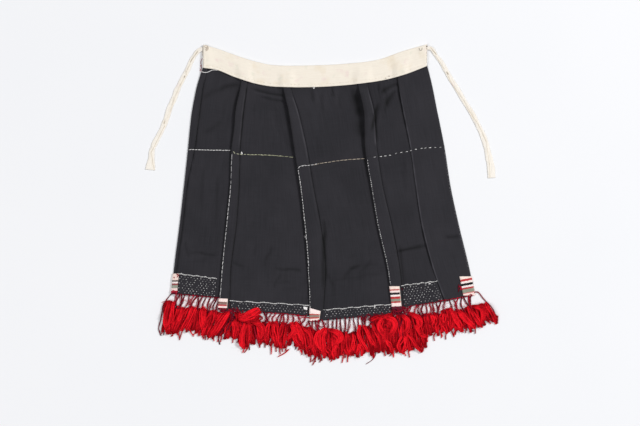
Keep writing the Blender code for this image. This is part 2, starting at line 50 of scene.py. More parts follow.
# The table top, the lamps and the camera. The apron was photographed on white board from straight above,
# under large soft lamps. The stronger lamp stands to the right and beyond the waistband, so the folds throw
# a soft shade to the left and towards the fringe.

MM = 0.001
PIXEL = 1.74  # millimetres of table to one pixel of the picture
PICTURE_WIDTH = 640 * PIXEL
PICTURE_MIDDLE = (-2.8, -17.1)
LENS = 85.0
SENSOR = 36.0
TABLE_SIZE = 24000.0
BOARD_COLOUR = "#F0F0F1"
LAMPS = (  # place, width, watts
    ((5600, 2600, 4900), 2000, 420.0),
    ((-4400, -2500, 6100), 4200, 238.0),
)
SKY_STRENGTH = 0.40


def colour(sheet_hex):
    """A hex colour of the usual screen scale, as the linear numbers that a shader takes."""
    channels = [int(sheet_hex[start : start + 2], 16) / 255 for start in (1, 3, 5)]
    return (*(c / 12.92 if c <= 0.04045 else ((c + 0.055) / 1.055) ** 2.4 for c in channels), 1.0)


def add_node(tree, kind, feeds=None, **settings):
    """Adds a shader node with its settings; each feed is a socket's value or the output linked to it."""
    made = tree.nodes.new(kind)
    for name, value in settings.items():
        setattr(made, name, value)
    for socket, value in (feeds or {}).items():
        if isinstance(value, bpy.types.NodeSocket):
            tree.links.new(value, made.inputs[socket])
        else:
            made.inputs[socket].default_value = value
    return made


def new_material(name, roughness, sheen=0.0, specular=0.5):
    """An empty material: its node tree and its shader, ready for a finish."""
    material = bpy.data.materials.new(name)
    material.use_nodes = True
    shader = material.node_tree.nodes["Principled BSDF"]
    shader.inputs["Roughness"].default_value = roughness
    shader.inputs["Sheen Weight"].default_value = sheen
    shader.inputs["Sheen Roughness"].default_value = 0.5
    shader.inputs["Specular IOR Level"].default_value = specular
    return material, material.node_tree, shader


def white_board():
    """Matt coated board: an even pale grey with the faintest cloudiness."""
    material, tree, shader = new_material("white_board", 0.7)
    place = add_node(tree, "ShaderNodeTexCoord").outputs["Object"]
    cloud = add_node(tree, "ShaderNodeTexNoise", {"Vector": place, "Scale": 3.0, "Detail": 2.0})
    tint = add_node(
        tree,
        "ShaderNodeMix",
        {"Factor": cloud.outputs["Fac"], "A": colour(BOARD_COLOUR), "B": colour("#ECEDEF")},
        data_type="RGBA",
    )
    tree.links.new(tint.outputs["Result"], shader.inputs["Base Color"])
    return material


bpy.ops.mesh.primitive_plane_add(size=TABLE_SIZE * MM, location=(0, 0, 0))
board = bpy.context.object
board.name = "white_board"
board.data.materials.append(white_board())

world = bpy.data.worlds.new("soft_room")
world.use_nodes = True
world.node_tree.nodes["Background"].inputs["Color"].default_value = colour("#FAFBFF")
world.node_tree.nodes["Background"].inputs["Strength"].default_value = SKY_STRENGTH
bpy.context.scene.world = world
for place, width, watts in LAMPS:
    bpy.ops.object.light_add(type="AREA", location=[value * MM for value in place])
    lamp = bpy.context.object
    lamp.data.shape = "DISK"
    lamp.data.size = width * MM
    lamp.data.energy = watts
    lamp.rotation_euler = Vector(place).to_track_quat("Z", "Y").to_euler()

camera_height = PICTURE_WIDTH * LENS / SENSOR
bpy.ops.object.camera_add(location=(PICTURE_MIDDLE[0] * MM, PICTURE_MIDDLE[1] * MM, camera_height * MM))
camera = bpy.context.object
camera.data.lens = LENS
camera.data.sensor_width = SENSOR
bpy.context.scene.camera = camera
bpy.context.scene.view_settings.view_transform = "Standard"

# The cloth: two lengths of plain-woven black cotton, sewn together along a cross seam. Both are pressed
# into the same four knife pleats, each a Z of three layers whose fold faces left, and the left edge is
# turned over to the front. The cloth is soft, so the folds lift a little and the panels carry creases.

WALL = 0.8
LAYER = 1.3  # from the middle of one layer of cloth to the next
FOLD_RADIUS = LAYER / 2
BASE_Z = 0.5  # middle of the layer of cloth that lies on the board
MIDDLE_Z = BASE_Z + LAYER
TOP_Z = MIDDLE_Z + LAYER
PLEAT_4_UNDERLAP = 10
STEP_FROM_RETURN = 1.0  # a hidden fold stops this far short of its return line
CROWN_END = -1.4  # a pleat's top layer ends this far from its return line, where it steps down
TURNED_LIFTS = (0.9, 0.5)  # of the turned left hem, at its raw edge and from there to its fold
FOLD_TURNS = (-90, -45, 0, 45, 90)
WAIST_READING = 220  # height at which a line is first read near the waist
TUCK = 8  # how far the cloth runs up inside the waistband
LOOSE_LIFT = 1.25  # how far a panel lies off the board between its pleats
EDGE_ROOM = 1.1  # a panel starts to lift this far from the edge that steps down to it
EDGE_SLOPE = 2.3  # and rises over this distance
FOLD_EDGE_ROOM = 0.4  # it lies down again this far short of the next fold
# How the cloth steps down from a pleat: the distance across from the return line, and the height there.
STEP_DOWN = (
    (-0.7, TOP_Z), (-0.1, TOP_Z - 0.2), (0.4, MIDDLE_Z + 0.2), (0.8, BASE_Z + 0.3), (1.2, BASE_Z),
    (1.9, BASE_Z), (2.6, BASE_Z), (3.4, BASE_Z),
)
FOLD_ROOMS = {"fold_1": 5.5, "fold_2": 7.0, "fold_3": 7.0, "fold_4": 2.6}  # sinking over this distance
PLEAT_4_SLOPE = 30.0  # the last pleat shows no edge on its right, the cloth only sinks to the board
STITCH_STEP = 2.7  # distance between neighbouring points of a mesh of cloth


class Section(NamedTuple):
    """Where each edge and fold line crosses one height of the apron."""

    height: float
    left_edge: float
    hem_turn: float
    fold_1: float
    return_1: float
    fold_2: float
    return_2: float
    fold_3: float
    return_3: float
    fold_4: float
    right_edge: float


# fmt: off
#       height  left  turn  fold1 ret.1 fold2 ret.2 fold3 ret.3 fold4 right
SECTIONS = (
    Section(-210, -265, -261.5, -181, -164, -20, 0, 126, 142, 229, 275),
    Section(-160, -260.5, -257, -177, -161, -20, 3, 121, 139, 211, 266),
    Section(-110, -256, -252.2, -173, -159, -23, 5, 114, 134, 193, 256),
    Section(-40, -247, -242.6, -166, -150, -29, -3, 98, 121, 175, 239),
    Section(30, -239, -234.6, -159, -145, -37, -16, 86, 105, 164, 224),
    Section(95, -232, -221.4, -156, -143, -47, -27, 76, 95, 155, 214),
    Section(130, -228.6, -216.3, -151.3, -139.9, -52.1, -34.6, 75.1, 92.6, 148.2, 207.2),
    Section(160, -225, -212.4, -148.8, -137, -57, -42, 74, 90, 142, 201),
    Section(205, -216, -206.2, -140, -131, -67, -56, 64, 79, 134, 192),
    Section(245, -203, -194.5, -137, -128, -71, -60, 59, 75, 130, 182),
)
# fmt: on


class Panel(NamedTuple):
    """One panel, from its own fold to the hidden return under the next, with its seam and hem heights."""

    starts: str
    ends: str
    seam_left: float
    seam_right: float
    hem_left: float
    hem_right: float


PANELS = (
    Panel("left_edge", "return_1", 93, 92, -158.3, -166.9),
    Panel("fold_1", "return_2", 88, 78, -185.3, -198.1),
    Panel("fold_2", "return_3", 63, 78, -206.2, -192),
    Panel("fold_3", "return_4", 79, 92, -184.6, -169.6),
    Panel("fold_4", "right_edge", 93, 97, -169.7, -160.6),
)


class BandStation(NamedTuple):
    """Top and bottom edge of the waistband at one place along it."""

    along: float
    top: float
    bottom: float


WAISTBAND = [BandStation(*row) for row in (
    (-206, 275.5, 235), (-180, 268, 231), (-152, 258, 219.5), (-118, 247, 208.5), (-83, 240, 202.5),
    (-20, 239.5, 201.5), (42, 242.5, 205), (98, 249.5, 212), (140, 264, 222), (184, 276.5, 238.5),
)]


class Rise(NamedTuple):
    """How far a pleat's fold and the middle of its top layer stand up, at one height of the apron."""

    height: float
    fold: float
    crown: float


PLEAT_RISES = [[Rise(*row) for row in rises] for rises in (
    ((-200, 0.0, 0.0), (-120, 0.9, 0.6), (-40, 0.7, 0.6), (40, 0.9, 0.6), (90, 1.8, 0.8), (130, 3.6, 1.2),
     (178, 4.6, 1.6), (206, 0.9, 0.4), (245, 0.0, 0.0)),
    ((-210, 0.0, 0.0), (-160, 1.6, 1.6), (-100, 2.0, 2.8), (-30, 2.2, 1.8), (50, 3.4, 1.0),
     (110, 3.9, 1.2), (182, 4.6, 1.4), (204, 0.9, 0.3), (245, 0.0, 0.0)),
    ((-200, 0.0, 0.0), (-120, 1.0, 0.6), (0, 1.4, 0.8), (70, 2.4, 1.2), (115, 5.2, 2.0), (160, 8.0, 3.4),
     (194, 7.0, 3.0), (207, 1.4, 0.8), (245, 0.0, 0.0)),
    ((-170, 0.0, 0.0), (-100, 0.7, 0.2), (-62, 1.1, 0.2), (-20, 0.2, 0.1), (90, 0.2, 0.1), (150, 1.2, 0.2),
     (195, 2.2, 0.3), (214, 0.4, 0.1), (245, 0.0, 0.0)),
)]


class Crease(NamedTuple):
    """A soft ridge of the cloth from one place to another, or a trough where its rise is below 0."""

    x0: float
    y0: float
    x1: float
    y1: float
    width: float
    rise: float
    bow: float


CREASES = [Crease(*row) for row in (
    (-206, 182, -172, 198, 3.9, -0.7, -3), (-176, 199, -141, 206, 3.9, -1.2, -2),
    (-203, 188, -150, 212, 6, 1.4, -5), (-206, 122, -176, 143, 3.9, -0.6, 3),
    (-206, 104, -176, 118, 5, -0.6, 3), (-200, 130, -168, 150, 6, 0.7, 3),
    (-120, 199, -64, 187, 2.6, -1.6, 2), (-117, 193, -66, 183, 2.6, 1.4, 2),
    (-108, 188, -66, 178, 2.4, -1.2, 2), (-112, 180, -70, 168, 4, 0.8, 3), (-84, 166, -60, 100, 5, -1.2, 4),
    (-100, 150, -78, 98, 8, 0.8, 3), (-16, 201, -15, 176, 2.2, -0.9, 1), (-12, 200, -9, 172, 3, 0.8, -1),
    (0, 190, 2, 158, 3, -0.6, 1), (6, 192, 7, 162, 3, 0.6, 1), (19, 203, 19, 186, 1.8, -1.5, 0),
    (24, 200, 25, 170, 3, 0.8, -1), (32, 190, 33, 164, 2, -0.7, 1), (45, 200, 52, 120, 9, -0.9, 4),
    (98, 208, 111, 160, 4, 1.5, -3), (106, 202, 113, 168, 3, -1.1, -2), (99.6, 210, 99, 195, 1.7, -1.5, 0),
    (132, 208, 102, 191, 2.6, -1.4, 2), (134, 201, 104, 181, 2.8, 1.4, 3),
    (128, 197, 112, 172, 2.4, -1.1, 1), (97, 171, 87, 127, 2.4, -2.4, 0), (106, 174, 94, 126, 4, 1.5, 0),
    (126, 190, 108, 158, 3.5, -0.9, 2), (136, 178, 120, 120, 6, 0.8, -3), (-219, 75, -223, 45, 4, -0.7, 2),
    (-200, 70, -204, 0, 6, 0.6, 3), (-182, 40, -190, -60, 7, -0.6, 3),
    (-229, -87.5, -206, -86.5, 2.0, -0.7, -1), (-211, -86.5, -183, -90, 2.2, -0.9, 1.5),
    (-232, -102, -200, -99, 2.6, -0.3, 1), (-240, -72, -183, -82, 4.5, 1.0, -3),
    (-205, 58, -209, -12, 2.4, -0.5, 1.5), (-182, 44, -185, -32, 2.6, -0.55, -1),
    (-237, -66, -232, -92, 1.8, -0.8, 1), (-240, -112, -192, -120, 6, 0.6, 2),
    (-155, -102, -137, -110, 2.6, -0.7, 1), (-112, -72, -117, -90, 2.8, -0.4, 1),
    (-148, -92, -122, -97, 4, 0.8, 1), (-87, -76, -97, -96, 2.2, -0.7, -1.5),
    (-95, -92, -101, -110, 2.4, -0.6, 1), (-78, -70, -94, -112, 4.5, 1.0, -2),
    (-80, -113.5, -58, -115.5, 2.2, -1.0, 1), (-62, -115, -36, -117.5, 2.2, -1.2, -1),
    (-78, -119, -32, -125, 4.5, 1.1, 2), (-72, -126, -84, -148, 2.2, -0.8, 1.5),
    (-76, -139, -54, -137, 2.2, -0.5, -1), (-70, -150, -44, -147, 2.4, -0.3, 1),
    (-74, -142, -36, -137, 5, 0.8, -2), (-118, -60, -70, -74, 8, 0.6, 4),
    (11, -124, 19, -141, 2.6, -0.7, 1), (19, -138, 22, -162, 2.6, -0.6, 0), (20, -152, 32, -176, 4, 0.9, 2),
    (48, -113.5, 68, -107, 2.2, -1.0, 1.5), (68, -111, 97, -107, 2.4, -0.4, -2),
    (64, -122, 86, -97, 2.0, -0.55, 2), (50, -108, 92, -84, 4.5, 1.0, 3), (38, -130, 62, -108, 3, -0.9, -2),
    (15, -132, 44, -131, 2.6, -0.45, 1), (40, -133, 72, -131, 2.4, -0.35, -1),
    (62, -128, 104, -124, 2.8, -0.4, -1.5), (40, -96, 58, -90, 2.6, -0.35, 1),
    (20, -142, 104, -134, 5, 0.8, 3), (60, -60, 88, -40, 8, 0.6, 3), (30, 50, 60, 10, 9, -0.6, 4),
    (3, -30, 7, -62, 2.6, -1.4, 0), (5, -52, 3, -150, 2.8, -1.9, 1), (136, -74, 142, -140, 2.0, -1.4, 0),
    (131, -84, 178, -74, 2.4, -1.9, 0), (131, -90, 180, -81, 4.0, 1.3, 0),
    (133, -77, 178, -67, 4.0, 0.9, 0), (140, 72, 143, 20, 4, -0.7, 2), (148, 74, 152, 30, 5, 0.7, 2),
    (216, -59, 239, -57, 2.6, -1.3, 1), (214, -66, 240, -64, 4, 1.0, 1), (192, -74, 216, -66, 4, 0.7, 2),
    (206, -108, 246, -100, 6, 0.7, 3), (176, 140, 196, 110, 8, 0.5, 3),
)]


class ShadeAndWearLine(NamedTuple):
    """A pressed edge between two heights: paler above 0, rubbed dye and painted highlight; below 0, painted
    shade.
    """

    line: str
    nudge: float
    lowest: float
    highest: float
    width: float
    wear: float


# Painted shade beside the folds and return lines, and pale lines that are partly rubbed dye, partly painted
# highlight.
SHADE_AND_WEAR_LINES = [ShadeAndWearLine(*row) for row in (
    ("fold_4", 0.3, -168, 200, 1.1, 0.8), ("fold_4", -1.5, 128, 216, 1.8, -0.9),
    ("fold_4", -1.3, -112, -40, 1.3, -0.8), ("fold_4", -1.2, -40, 128, 1.0, -0.35),
    ("return_3", -0.3, 96, 204, 1.0, 0.55), ("return_3", -0.2, -190, 96, 0.8, 0.15),
    ("return_3", 2.2, 104, 172, 2.0, -0.9), ("return_3", 1.4, -10, 104, 1.1, -0.3),
    ("return_3", 1.4, -150, -40, 1.2, -0.75), ("return_2", -0.3, 70, 190, 0.9, 0.5),
    ("return_2", -0.3, -40, 84, 0.9, 0.2), ("return_2", 1.5, -10, 90, 1.1, -0.45),
    ("return_2", 1.7, -190, 0, 1.3, -0.6), ("return_2", 2.8, -140, -48, 2.4, -0.6),
    ("return_1", 1.2, -172, 206, 1.2, -0.7), ("hem_turn", 1.0, -134, 222, 1.2, -0.85),
    ("left_edge", 0.4, -120, 120, 1.6, 0.25), ("return_1", 1.3, 110, 206, 1.2, -0.5),
    ("return_1", -0.6, 90, 200, 0.9, 0.4), ("fold_1", -3.0, 160, 207, 3.2, -0.55),
    ("fold_1", -1.2, 84, 172, 1.3, -0.35), ("fold_1", -1.4, -60, 96, 1.6, -0.3),
    ("fold_2", -3.6, 84, 206, 4.2, -0.5), ("fold_2", -2.0, -200, 90, 2.0, -0.3),
    ("fold_3", -7.0, 112, 204, 7.0, -0.85), ("fold_3", -13.0, 146, 206, 5.0, -0.45),
    ("fold_3", -2.8, 40, 128, 3.2, -0.7), ("fold_3", -1.6, -190, 50, 1.5, -0.4),
)]

UNDER_BAND, PAST_BAND = 0.07, 0.18  # shares of the way down where the cloth starts and ends sinking
LOWER_LIFTS = ((0.0, 0.0), (1.0, 0.0))
UPPER_LIFTS = ((0.0, LAYER), (UNDER_BAND, LAYER), (PAST_BAND, 0.0), (1.0, 0.0))


def smooth(x, knots):
    """Reads the smooth curve through (x, value) knots in rising order."""
    position = 0
    while position < len(knots) - 2 and x > knots[position + 1][0]:
        position += 1
    (x0, v0), (x1, v1) = knots[position], knots[position + 1]
    before = knots[max(position - 1, 0)]
    after = knots[min(position + 2, len(knots) - 1)]
    span = x1 - x0
    slope_0 = (v1 - before[1]) / (x1 - before[0]) * span
    slope_1 = (after[1] - v0) / (after[0] - x0) * span
    t = (x - x0) / span
    rise = v1 - v0
    bend = t * t * (3 * rise - 2 * slope_0 - slope_1)
    return v0 + t * slope_0 + bend + t**3 * (slope_0 + slope_1 - 2 * rise)


def straight(x, knots):
    """Reads the straight runs through (x, value) knots in rising order."""
    return float(np.interp(x, [knot[0] for knot in knots], [knot[1] for knot in knots]))


def mix(a, b, share):
    return a + (b - a) * share


def ease(share):
    """A soft start and end between 0 and 1."""
    share = np.clip(share, 0, 1)
    return share * share * (3 - 2 * share)


def line_x(line, height):
    """Where an edge or fold line lies at a height."""
    if line == "return_4":
        return line_x("fold_4", height) + PLEAT_4_UNDERLAP
    return smooth(height, [(section.height, getattr(section, line)) for section in SECTIONS])


def band_top(x):
    return smooth(x, [(station.along, station.top) for station in WAISTBAND])


def band_bottom(x):
    return smooth(x, [(station.along, station.bottom) for station in WAISTBAND])


def upper_height(panel, share, down):
    """Height of a point of a panel between the waist, at down 0, and the seam, at down 1."""
    waist_x = mix(line_x(panel.starts, WAIST_READING), line_x(panel.ends, WAIST_READING), share)
    waist = band_bottom(waist_x) + TUCK
    seam = mix(panel.seam_left, panel.seam_right, share)
    return mix(waist, seam, down)


def lower_height(panel, share, down):
    """Height of a point of a panel between the seam, at down 0, and the hem, at down 1."""
    seam = mix(panel.seam_left, panel.seam_right, share)
    return mix(seam, mix(panel.hem_left, panel.hem_right, share), down)


def share_of(panel, line):
    """Share of the panel's width at which one of its inner lines lies, read half way down."""
    left = line_x(panel.starts, 0)
    right = line_x(panel.ends, 0)
    return (line_x(line, 0) - left) / (right - left)


class Place(NamedTuple):
    """A place along a section of the cloth: its panel, the lines it lies between, its layer and pleat."""

    panel: Panel
    share: float
    line: str
    other: str
    part: float
    nudge: float
    z: float
    pleat: int = 0
    fold_weight: float = 0.0
    crown_weight: float = 0.0
    free_from: str = ""
    free_to: str = ""


def pressed_fold(panel, line, way, low_z, share, nudge=0.0, pleat=0):
    """Places round a fold that joins the layer at low_z to the next; way is +1 where it bulges right."""
    places = []
    for turn in FOLD_TURNS:
        across = math.cos(math.radians(turn)) * way
        up = math.sin(math.radians(turn))
        shift = nudge + (across - way) * FOLD_RADIUS
        z = low_z + FOLD_RADIUS * (1 + up)
        places.append(Place(panel, share, line, line, 0, shift, z, pleat, 1.0 if pleat else 0.0))
    return places


def flat_run(
    panel, line, other, shares, nudges, z, steps, free=("", ""), pleat=0, lifts=(0.0, 0.0), crown=0.0
):
    """Places along a level stretch of one layer, from one line to the other, without its two ends."""
    places = []
    for part in [step / steps for step in range(1, steps)]:
        share, nudge, lifted = (mix(*ends, part) for ends in (shares, nudges, lifts))
        crowned = crown * math.sin(math.pi * part)
        places.append(Place(panel, share, line, other, part, nudge, z, pleat, lifted, crowned, *free))
    return places


def steps_between(line, other):
    return max(4, round(abs(line_x(other, 0) - line_x(line, 0)) / STITCH_STEP))


def cloth_places():
    """A whole section of the apron, from the raw edge of the left hem to the right edge."""
    first = PANELS[0]
    turn_share = share_of(first, "hem_turn")
    edge_z, turned_z = (MIDDLE_Z + lift for lift in TURNED_LIFTS)
    places = [Place(first, turn_share, "hem_turn", "hem_turn", 0, 0, edge_z)]
    places += flat_run(first, "hem_turn", "left_edge", (turn_share, 0), (0, FOLD_RADIUS), turned_z, 4)
    places += reversed(pressed_fold(first, "left_edge", -1, BASE_Z, 0))
    start = ("left_edge", 0.0, FOLD_RADIUS)
    free_from = "hem_turn"
    for number, (panel, following) in enumerate(zip(PANELS, PANELS[1:]), 1):
        fold = following.starts
        hidden = panel.ends
        visible_end = share_of(panel, fold)
        line, share, nudge = start
        steps = steps_between(line, hidden)
        end_nudge = -STEP_FROM_RETURN - FOLD_RADIUS
        places += flat_run(
            panel, line, hidden, (share, 1), (nudge, end_nudge), BASE_Z, steps, (free_from, fold)
        )
        free_from = hidden
        places += pressed_fold(panel, hidden, 1, BASE_Z, 1, -STEP_FROM_RETURN)
        back = steps_between(hidden, fold)
        under, over = (end_nudge, FOLD_RADIUS), (FOLD_RADIUS, CROWN_END)
        held = {"pleat": number, "lifts": (0, 1)}
        places += flat_run(panel, hidden, fold, (1, visible_end), under, MIDDLE_Z, back, **held)
        places += pressed_fold(following, fold, -1, MIDDLE_Z, 0, pleat=number)
        hidden_share = share_of(following, hidden)
        held = {"pleat": number, "lifts": (1, 0), "crown": 1.0}
        places += flat_run(following, fold, hidden, (0, hidden_share), over, TOP_Z, back + 1, **held)
        for shift, z in STEP_DOWN:
            places.append(Place(following, hidden_share, hidden, hidden, 0, shift, z, free_from=hidden))
        start = (hidden, hidden_share, STEP_DOWN[-1][0])
    last = PANELS[-1]
    line, share, nudge = start
    steps = steps_between(line, "right_edge")
    places += flat_run(last, line, "right_edge", (share, 1), (nudge, 0), BASE_Z, steps, (free_from, ""))
    places.append(Place(last, 1, "right_edge", "right_edge", 0, 0, BASE_Z))
    return places


def crease_field(x, y, creases):
    """Height that the creases add to the cloth at each place."""
    total = np.zeros_like(x)
    for crease in creases:
        run_x, run_y = crease.x1 - crease.x0, crease.y1 - crease.y0
        length = math.hypot(run_x, run_y)
        along = ((x - crease.x0) * run_x + (y - crease.y0) * run_y) / length**2
        aside = ((x - crease.x0) * run_y - (y - crease.y0) * run_x) / length
        aside = aside - crease.bow * np.sin(np.pi * np.clip(along, 0, 1))
        ends = ease((along + 0.15) / 0.35) * ease((1.15 - along) / 0.35)
        total += crease.rise * ends * np.exp(-((aside / crease.width) ** 2))
    return total


def slack_field(x, y):
    """Shallow swells of a cloth that isn't ironed flat: a few long waves across each other."""
    waves = np.sin(x / 23 + 0.4 * np.sin(y / 31)) * np.sin(y / 37 + 0.6 * np.sin(x / 29 + 1.1))
    ripples = np.sin(x / 9.1 + y / 47 + 2 * np.sin(y / 53)) * np.sin(y / 61 + x / 140)
    return 0.30 * waves + 0.10 * ripples


def freedom(place, x, y):
    """How far, from 0 to 1, the cloth is free to lift off the board at a point."""
    if not place.free_from:
        return 0.0
    free = ease((x - line_x(place.free_from, y) - EDGE_ROOM) / EDGE_SLOPE)
    if place.free_to:
        free *= ease((line_x(place.free_to, y) - x - FOLD_EDGE_ROOM) / FOLD_ROOMS[place.free_to])
    return float(free)


def cloth_points(places, downs, height_of, lifts):
    """Rows of points along the middle of the cloth."""
    points = np.empty((len(downs), len(places), 3))
    loose = np.empty((len(downs), len(places)))
    for row, down in enumerate(downs):
        lift = straight(down, lifts)
        for column, place in enumerate(places):
            y = height_of(place.panel, place.share, down)
            x = mix(line_x(place.line, y), line_x(place.other, y), place.part) + place.nudge
            z = place.z + lift
            if place.pleat:
                rises = PLEAT_RISES[place.pleat - 1]
                held = 1 - lift / LAYER
                folds = [(rise.height, rise.fold) for rise in rises]
                crowns = [(rise.height, rise.crown) for rise in rises]
                z += held * place.fold_weight * max(smooth(y, folds), 0)
                z += held * place.crown_weight * max(smooth(y, crowns), 0)
            free = freedom(place, x, y)
            if place.free_from == "return_4":
                beside = float(ease((x - line_x("return_4", y) + 0.7) / PLEAT_4_SLOPE))
                z = mix(TOP_Z, BASE_Z, beside) + lift
                free = beside
            points[row, column] = (x, y, z)
            loose[row, column] = free * (1 - lift / LAYER)
    x, y = points[..., 0], points[..., 1]
    creases = crease_field(x, y, CREASES)
    relief = LOOSE_LIFT + np.where(creases < 0, 2.0, 1.0) * creases + 1.2 * slack_field(x, y)
    points[..., 2] += loose * np.maximum(relief, 0)
    return points


def new_piece(name, mesh):
    """Sets a mesh down on the table as a piece of its own."""
    piece = bpy.data.objects.new(name, mesh)
    bpy.context.scene.collection.objects.link(piece)
    return piece


def spots_of(piece):
    """Where the points of a piece lie, in millimetres."""
    spots = np.empty(len(piece.data.vertices) * 3, np.float32)
    piece.data.vertices.foreach_get("co", spots)
    return spots.reshape(-1, 3) / MM


def mark(mesh, name, values):
    """Keeps a value at each point of a mesh for its material to read."""
    mesh.attributes.new(name, "FLOAT", "POINT").data.foreach_set("value", values.astype(np.float32))


def sheet_mesh(name, middles, wall):
    """A sheet of cloth from rows of points along its middle, with a UV map in metres and its thickness."""
    rows, columns = middles.shape[:2]
    order = np.arange(rows * columns).reshape(rows, columns)
    faces = [order[:-1, :-1], order[1:, :-1], order[1:, 1:], order[:-1, 1:]]
    faces = np.stack(faces, axis=-1).reshape(-1, 4)
    mesh = bpy.data.meshes.new(name)
    mesh.from_pydata((middles.reshape(-1, 3) * MM).tolist(), [], faces.tolist())
    steps_across = np.linalg.norm(np.diff(middles, axis=1), axis=2).mean(axis=0)
    steps_down = np.linalg.norm(np.diff(middles, axis=0), axis=2).mean(axis=1)
    across = np.concatenate([[0], np.cumsum(steps_across)])
    down = np.concatenate([[0], np.cumsum(steps_down)])
    grid = np.stack(np.broadcast_arrays(across[None, :], -down[:, None]), axis=-1) * MM
    corners = np.stack([grid[:-1, :-1], grid[1:, :-1], grid[1:, 1:], grid[:-1, 1:]], axis=2)
    mesh.uv_layers.new(name="cloth").uv.foreach_set("vector", corners.reshape(-1).astype(np.float32))
    piece = new_piece(name, mesh)
    thicken = piece.modifiers.new("wall", "SOLIDIFY")
    thicken.thickness = wall * MM
    thicken.offset = 0.0
    thicken.use_even_offset = True
    bpy.context.view_layer.objects.active = piece
    bpy.ops.object.modifier_apply(modifier="wall")
    piece.data.shade_smooth()
    return piece


def add_painted_shade_and_wear(piece):
    """Marks painted light and wear: below 0 painted shade in creases and beside folds, above 0 rubbed dye
    and painted highlight.
    """
    spots = spots_of(piece)
    x, y = spots[:, 0], spots[:, 1]
    # Painted shade in the troughs of the narrow creases, a faint painted highlight on their ridges, and
    # painted light rising towards the right side.
    creases = crease_field(x, y, [crease for crease in CREASES if crease.width < 4])
    wear = np.where(creases < 0, 0.42, 0.06) * creases + 0.04 * ease((x - 140) / 60)
    # Each line adds painted shade below 0, and above 0 a paler line that is partly rubbed dye, partly
    # painted highlight.
    for worn in SHADE_AND_WEAR_LINES:
        heights = np.linspace(worn.lowest, worn.highest, 60)
        line = np.interp(y, heights, [line_x(worn.line, height) for height in heights]) + worn.nudge
        within = ease((y - worn.lowest) / 12) * ease((worn.highest - y) / 12)
        uneven = 0.75 + 0.25 * np.sin(y / 5.3 + worn.nudge) * np.sin(y / 13.7)
        wear += worn.wear * within * uneven * np.exp(-(((x - line) / worn.width) ** 2))
    mark(piece.data, "wear", wear)


def weave_bump(tree, along, thread, strength, depth):
    """Relief of a plain weave: rounded crossings, a thread apart, from a UV map in metres."""
    turns = math.pi / (thread * MM)
    split = add_node(tree, "ShaderNodeSeparateXYZ", {0: along})
    waves = []
    for axis in ("X", "Y"):
        angle = add_node(tree, "ShaderNodeMath", {0: split.outputs[axis], 1: turns}, operation="MULTIPLY")
        waves.append(add_node(tree, "ShaderNodeMath", {0: angle.outputs[0]}, operation="SINE").outputs[0])
    crossing = add_node(tree, "ShaderNodeMath", {0: waves[0], 1: waves[1]}, operation="MULTIPLY")
    return add_node(
        tree, "ShaderNodeBump", {"Height": crossing.outputs[0], "Strength": strength, "Distance": depth * MM}
    )


def overlay(tree, tint, other, value, least, most, share=1.0):
    """Lays another colour over a tint, up to a share of it, where a value rises from least to most."""
    levels = {"Value": value, "From Min": least, "From Max": most, "To Min": 0.0, "To Max": share}
    rising = add_node(tree, "ShaderNodeMapRange", levels)
    feeds = {"Factor": rising.outputs[0], "A": tint, "B": colour(other)}
    return add_node(tree, "ShaderNodeMix", feeds, data_type="RGBA").outputs["Result"]


def black_cotton():
    """Plain-woven cotton dyed black and washed soft: matt, faintly blue, with slubs, paler worn threads and
    painted light.

    The real threads lie 0.45 mm apart; the weave is drawn at 1.1 mm so that it just shows as a fine grain.
    """
    material, tree, shader = new_material("black_cotton_plain_weave", 0.92, 0.12, 0.25)
    along = add_node(tree, "ShaderNodeUVMap", uv_map="cloth").outputs["UV"]
    slubs = []
    for scale in ((620.0, 22.0, 1.0), (26.0, 700.0, 1.0)):
        threads = add_node(tree, "ShaderNodeMapping", {"Vector": along, "Scale": scale})
        feeds = {"Vector": threads.outputs[0], "Scale": 1.0, "Detail": 2.0}
        slubs.append(add_node(tree, "ShaderNodeTexNoise", feeds).outputs["Fac"])
    weft_share = add_node(tree, "ShaderNodeMath", {0: slubs[1], 1: 0.5}, operation="MULTIPLY")
    both = add_node(tree, "ShaderNodeMath", {0: slubs[0], 1: weft_share.outputs[0]}, operation="ADD")
    feeds = {"Vector": along, "Scale": 11.0, "Detail": 4.0, "Roughness": 0.6}
    wash = add_node(tree, "ShaderNodeTexNoise", feeds)
    tint = overlay(tree, colour("#1A191D"), "#2C2B30", both.outputs[0], 0.2, 1.3)
    tint = overlay(tree, tint, "#333136", wash.outputs["Fac"], 0.4, 0.8, 0.5)
    # Painted light: below 0 the marks paint shade towards near black, above 0 paler grey, partly rubbed dye,
    # partly painted highlight.
    wear = add_node(tree, "ShaderNodeAttribute", attribute_name="wear").outputs["Fac"]
    shade = add_node(tree, "ShaderNodeMath", {0: wear, 1: -1.0}, operation="MULTIPLY", use_clamp=True)
    for share, other in ((shade.outputs[0], "#08080A"), (wear, "#504E54")):
        feeds = {"Factor": share, "A": tint, "B": colour(other)}
        tint = add_node(tree, "ShaderNodeMix", feeds, data_type="RGBA").outputs["Result"]
    bump = weave_bump(tree, along, 0.55, 0.5, 0.12)
    tree.links.new(tint, shader.inputs["Base Color"])
    tree.links.new(bump.outputs[0], shader.inputs["Normal"])
    return material


def dress(piece, material, slot, *nodes):
    """Gives a piece its material, rides it on the apron's one body and puts it in its solids' place."""
    piece.data.materials.clear()
    piece.data.materials.append(material)
    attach(piece, "root")
    if nodes:
        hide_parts(*nodes)


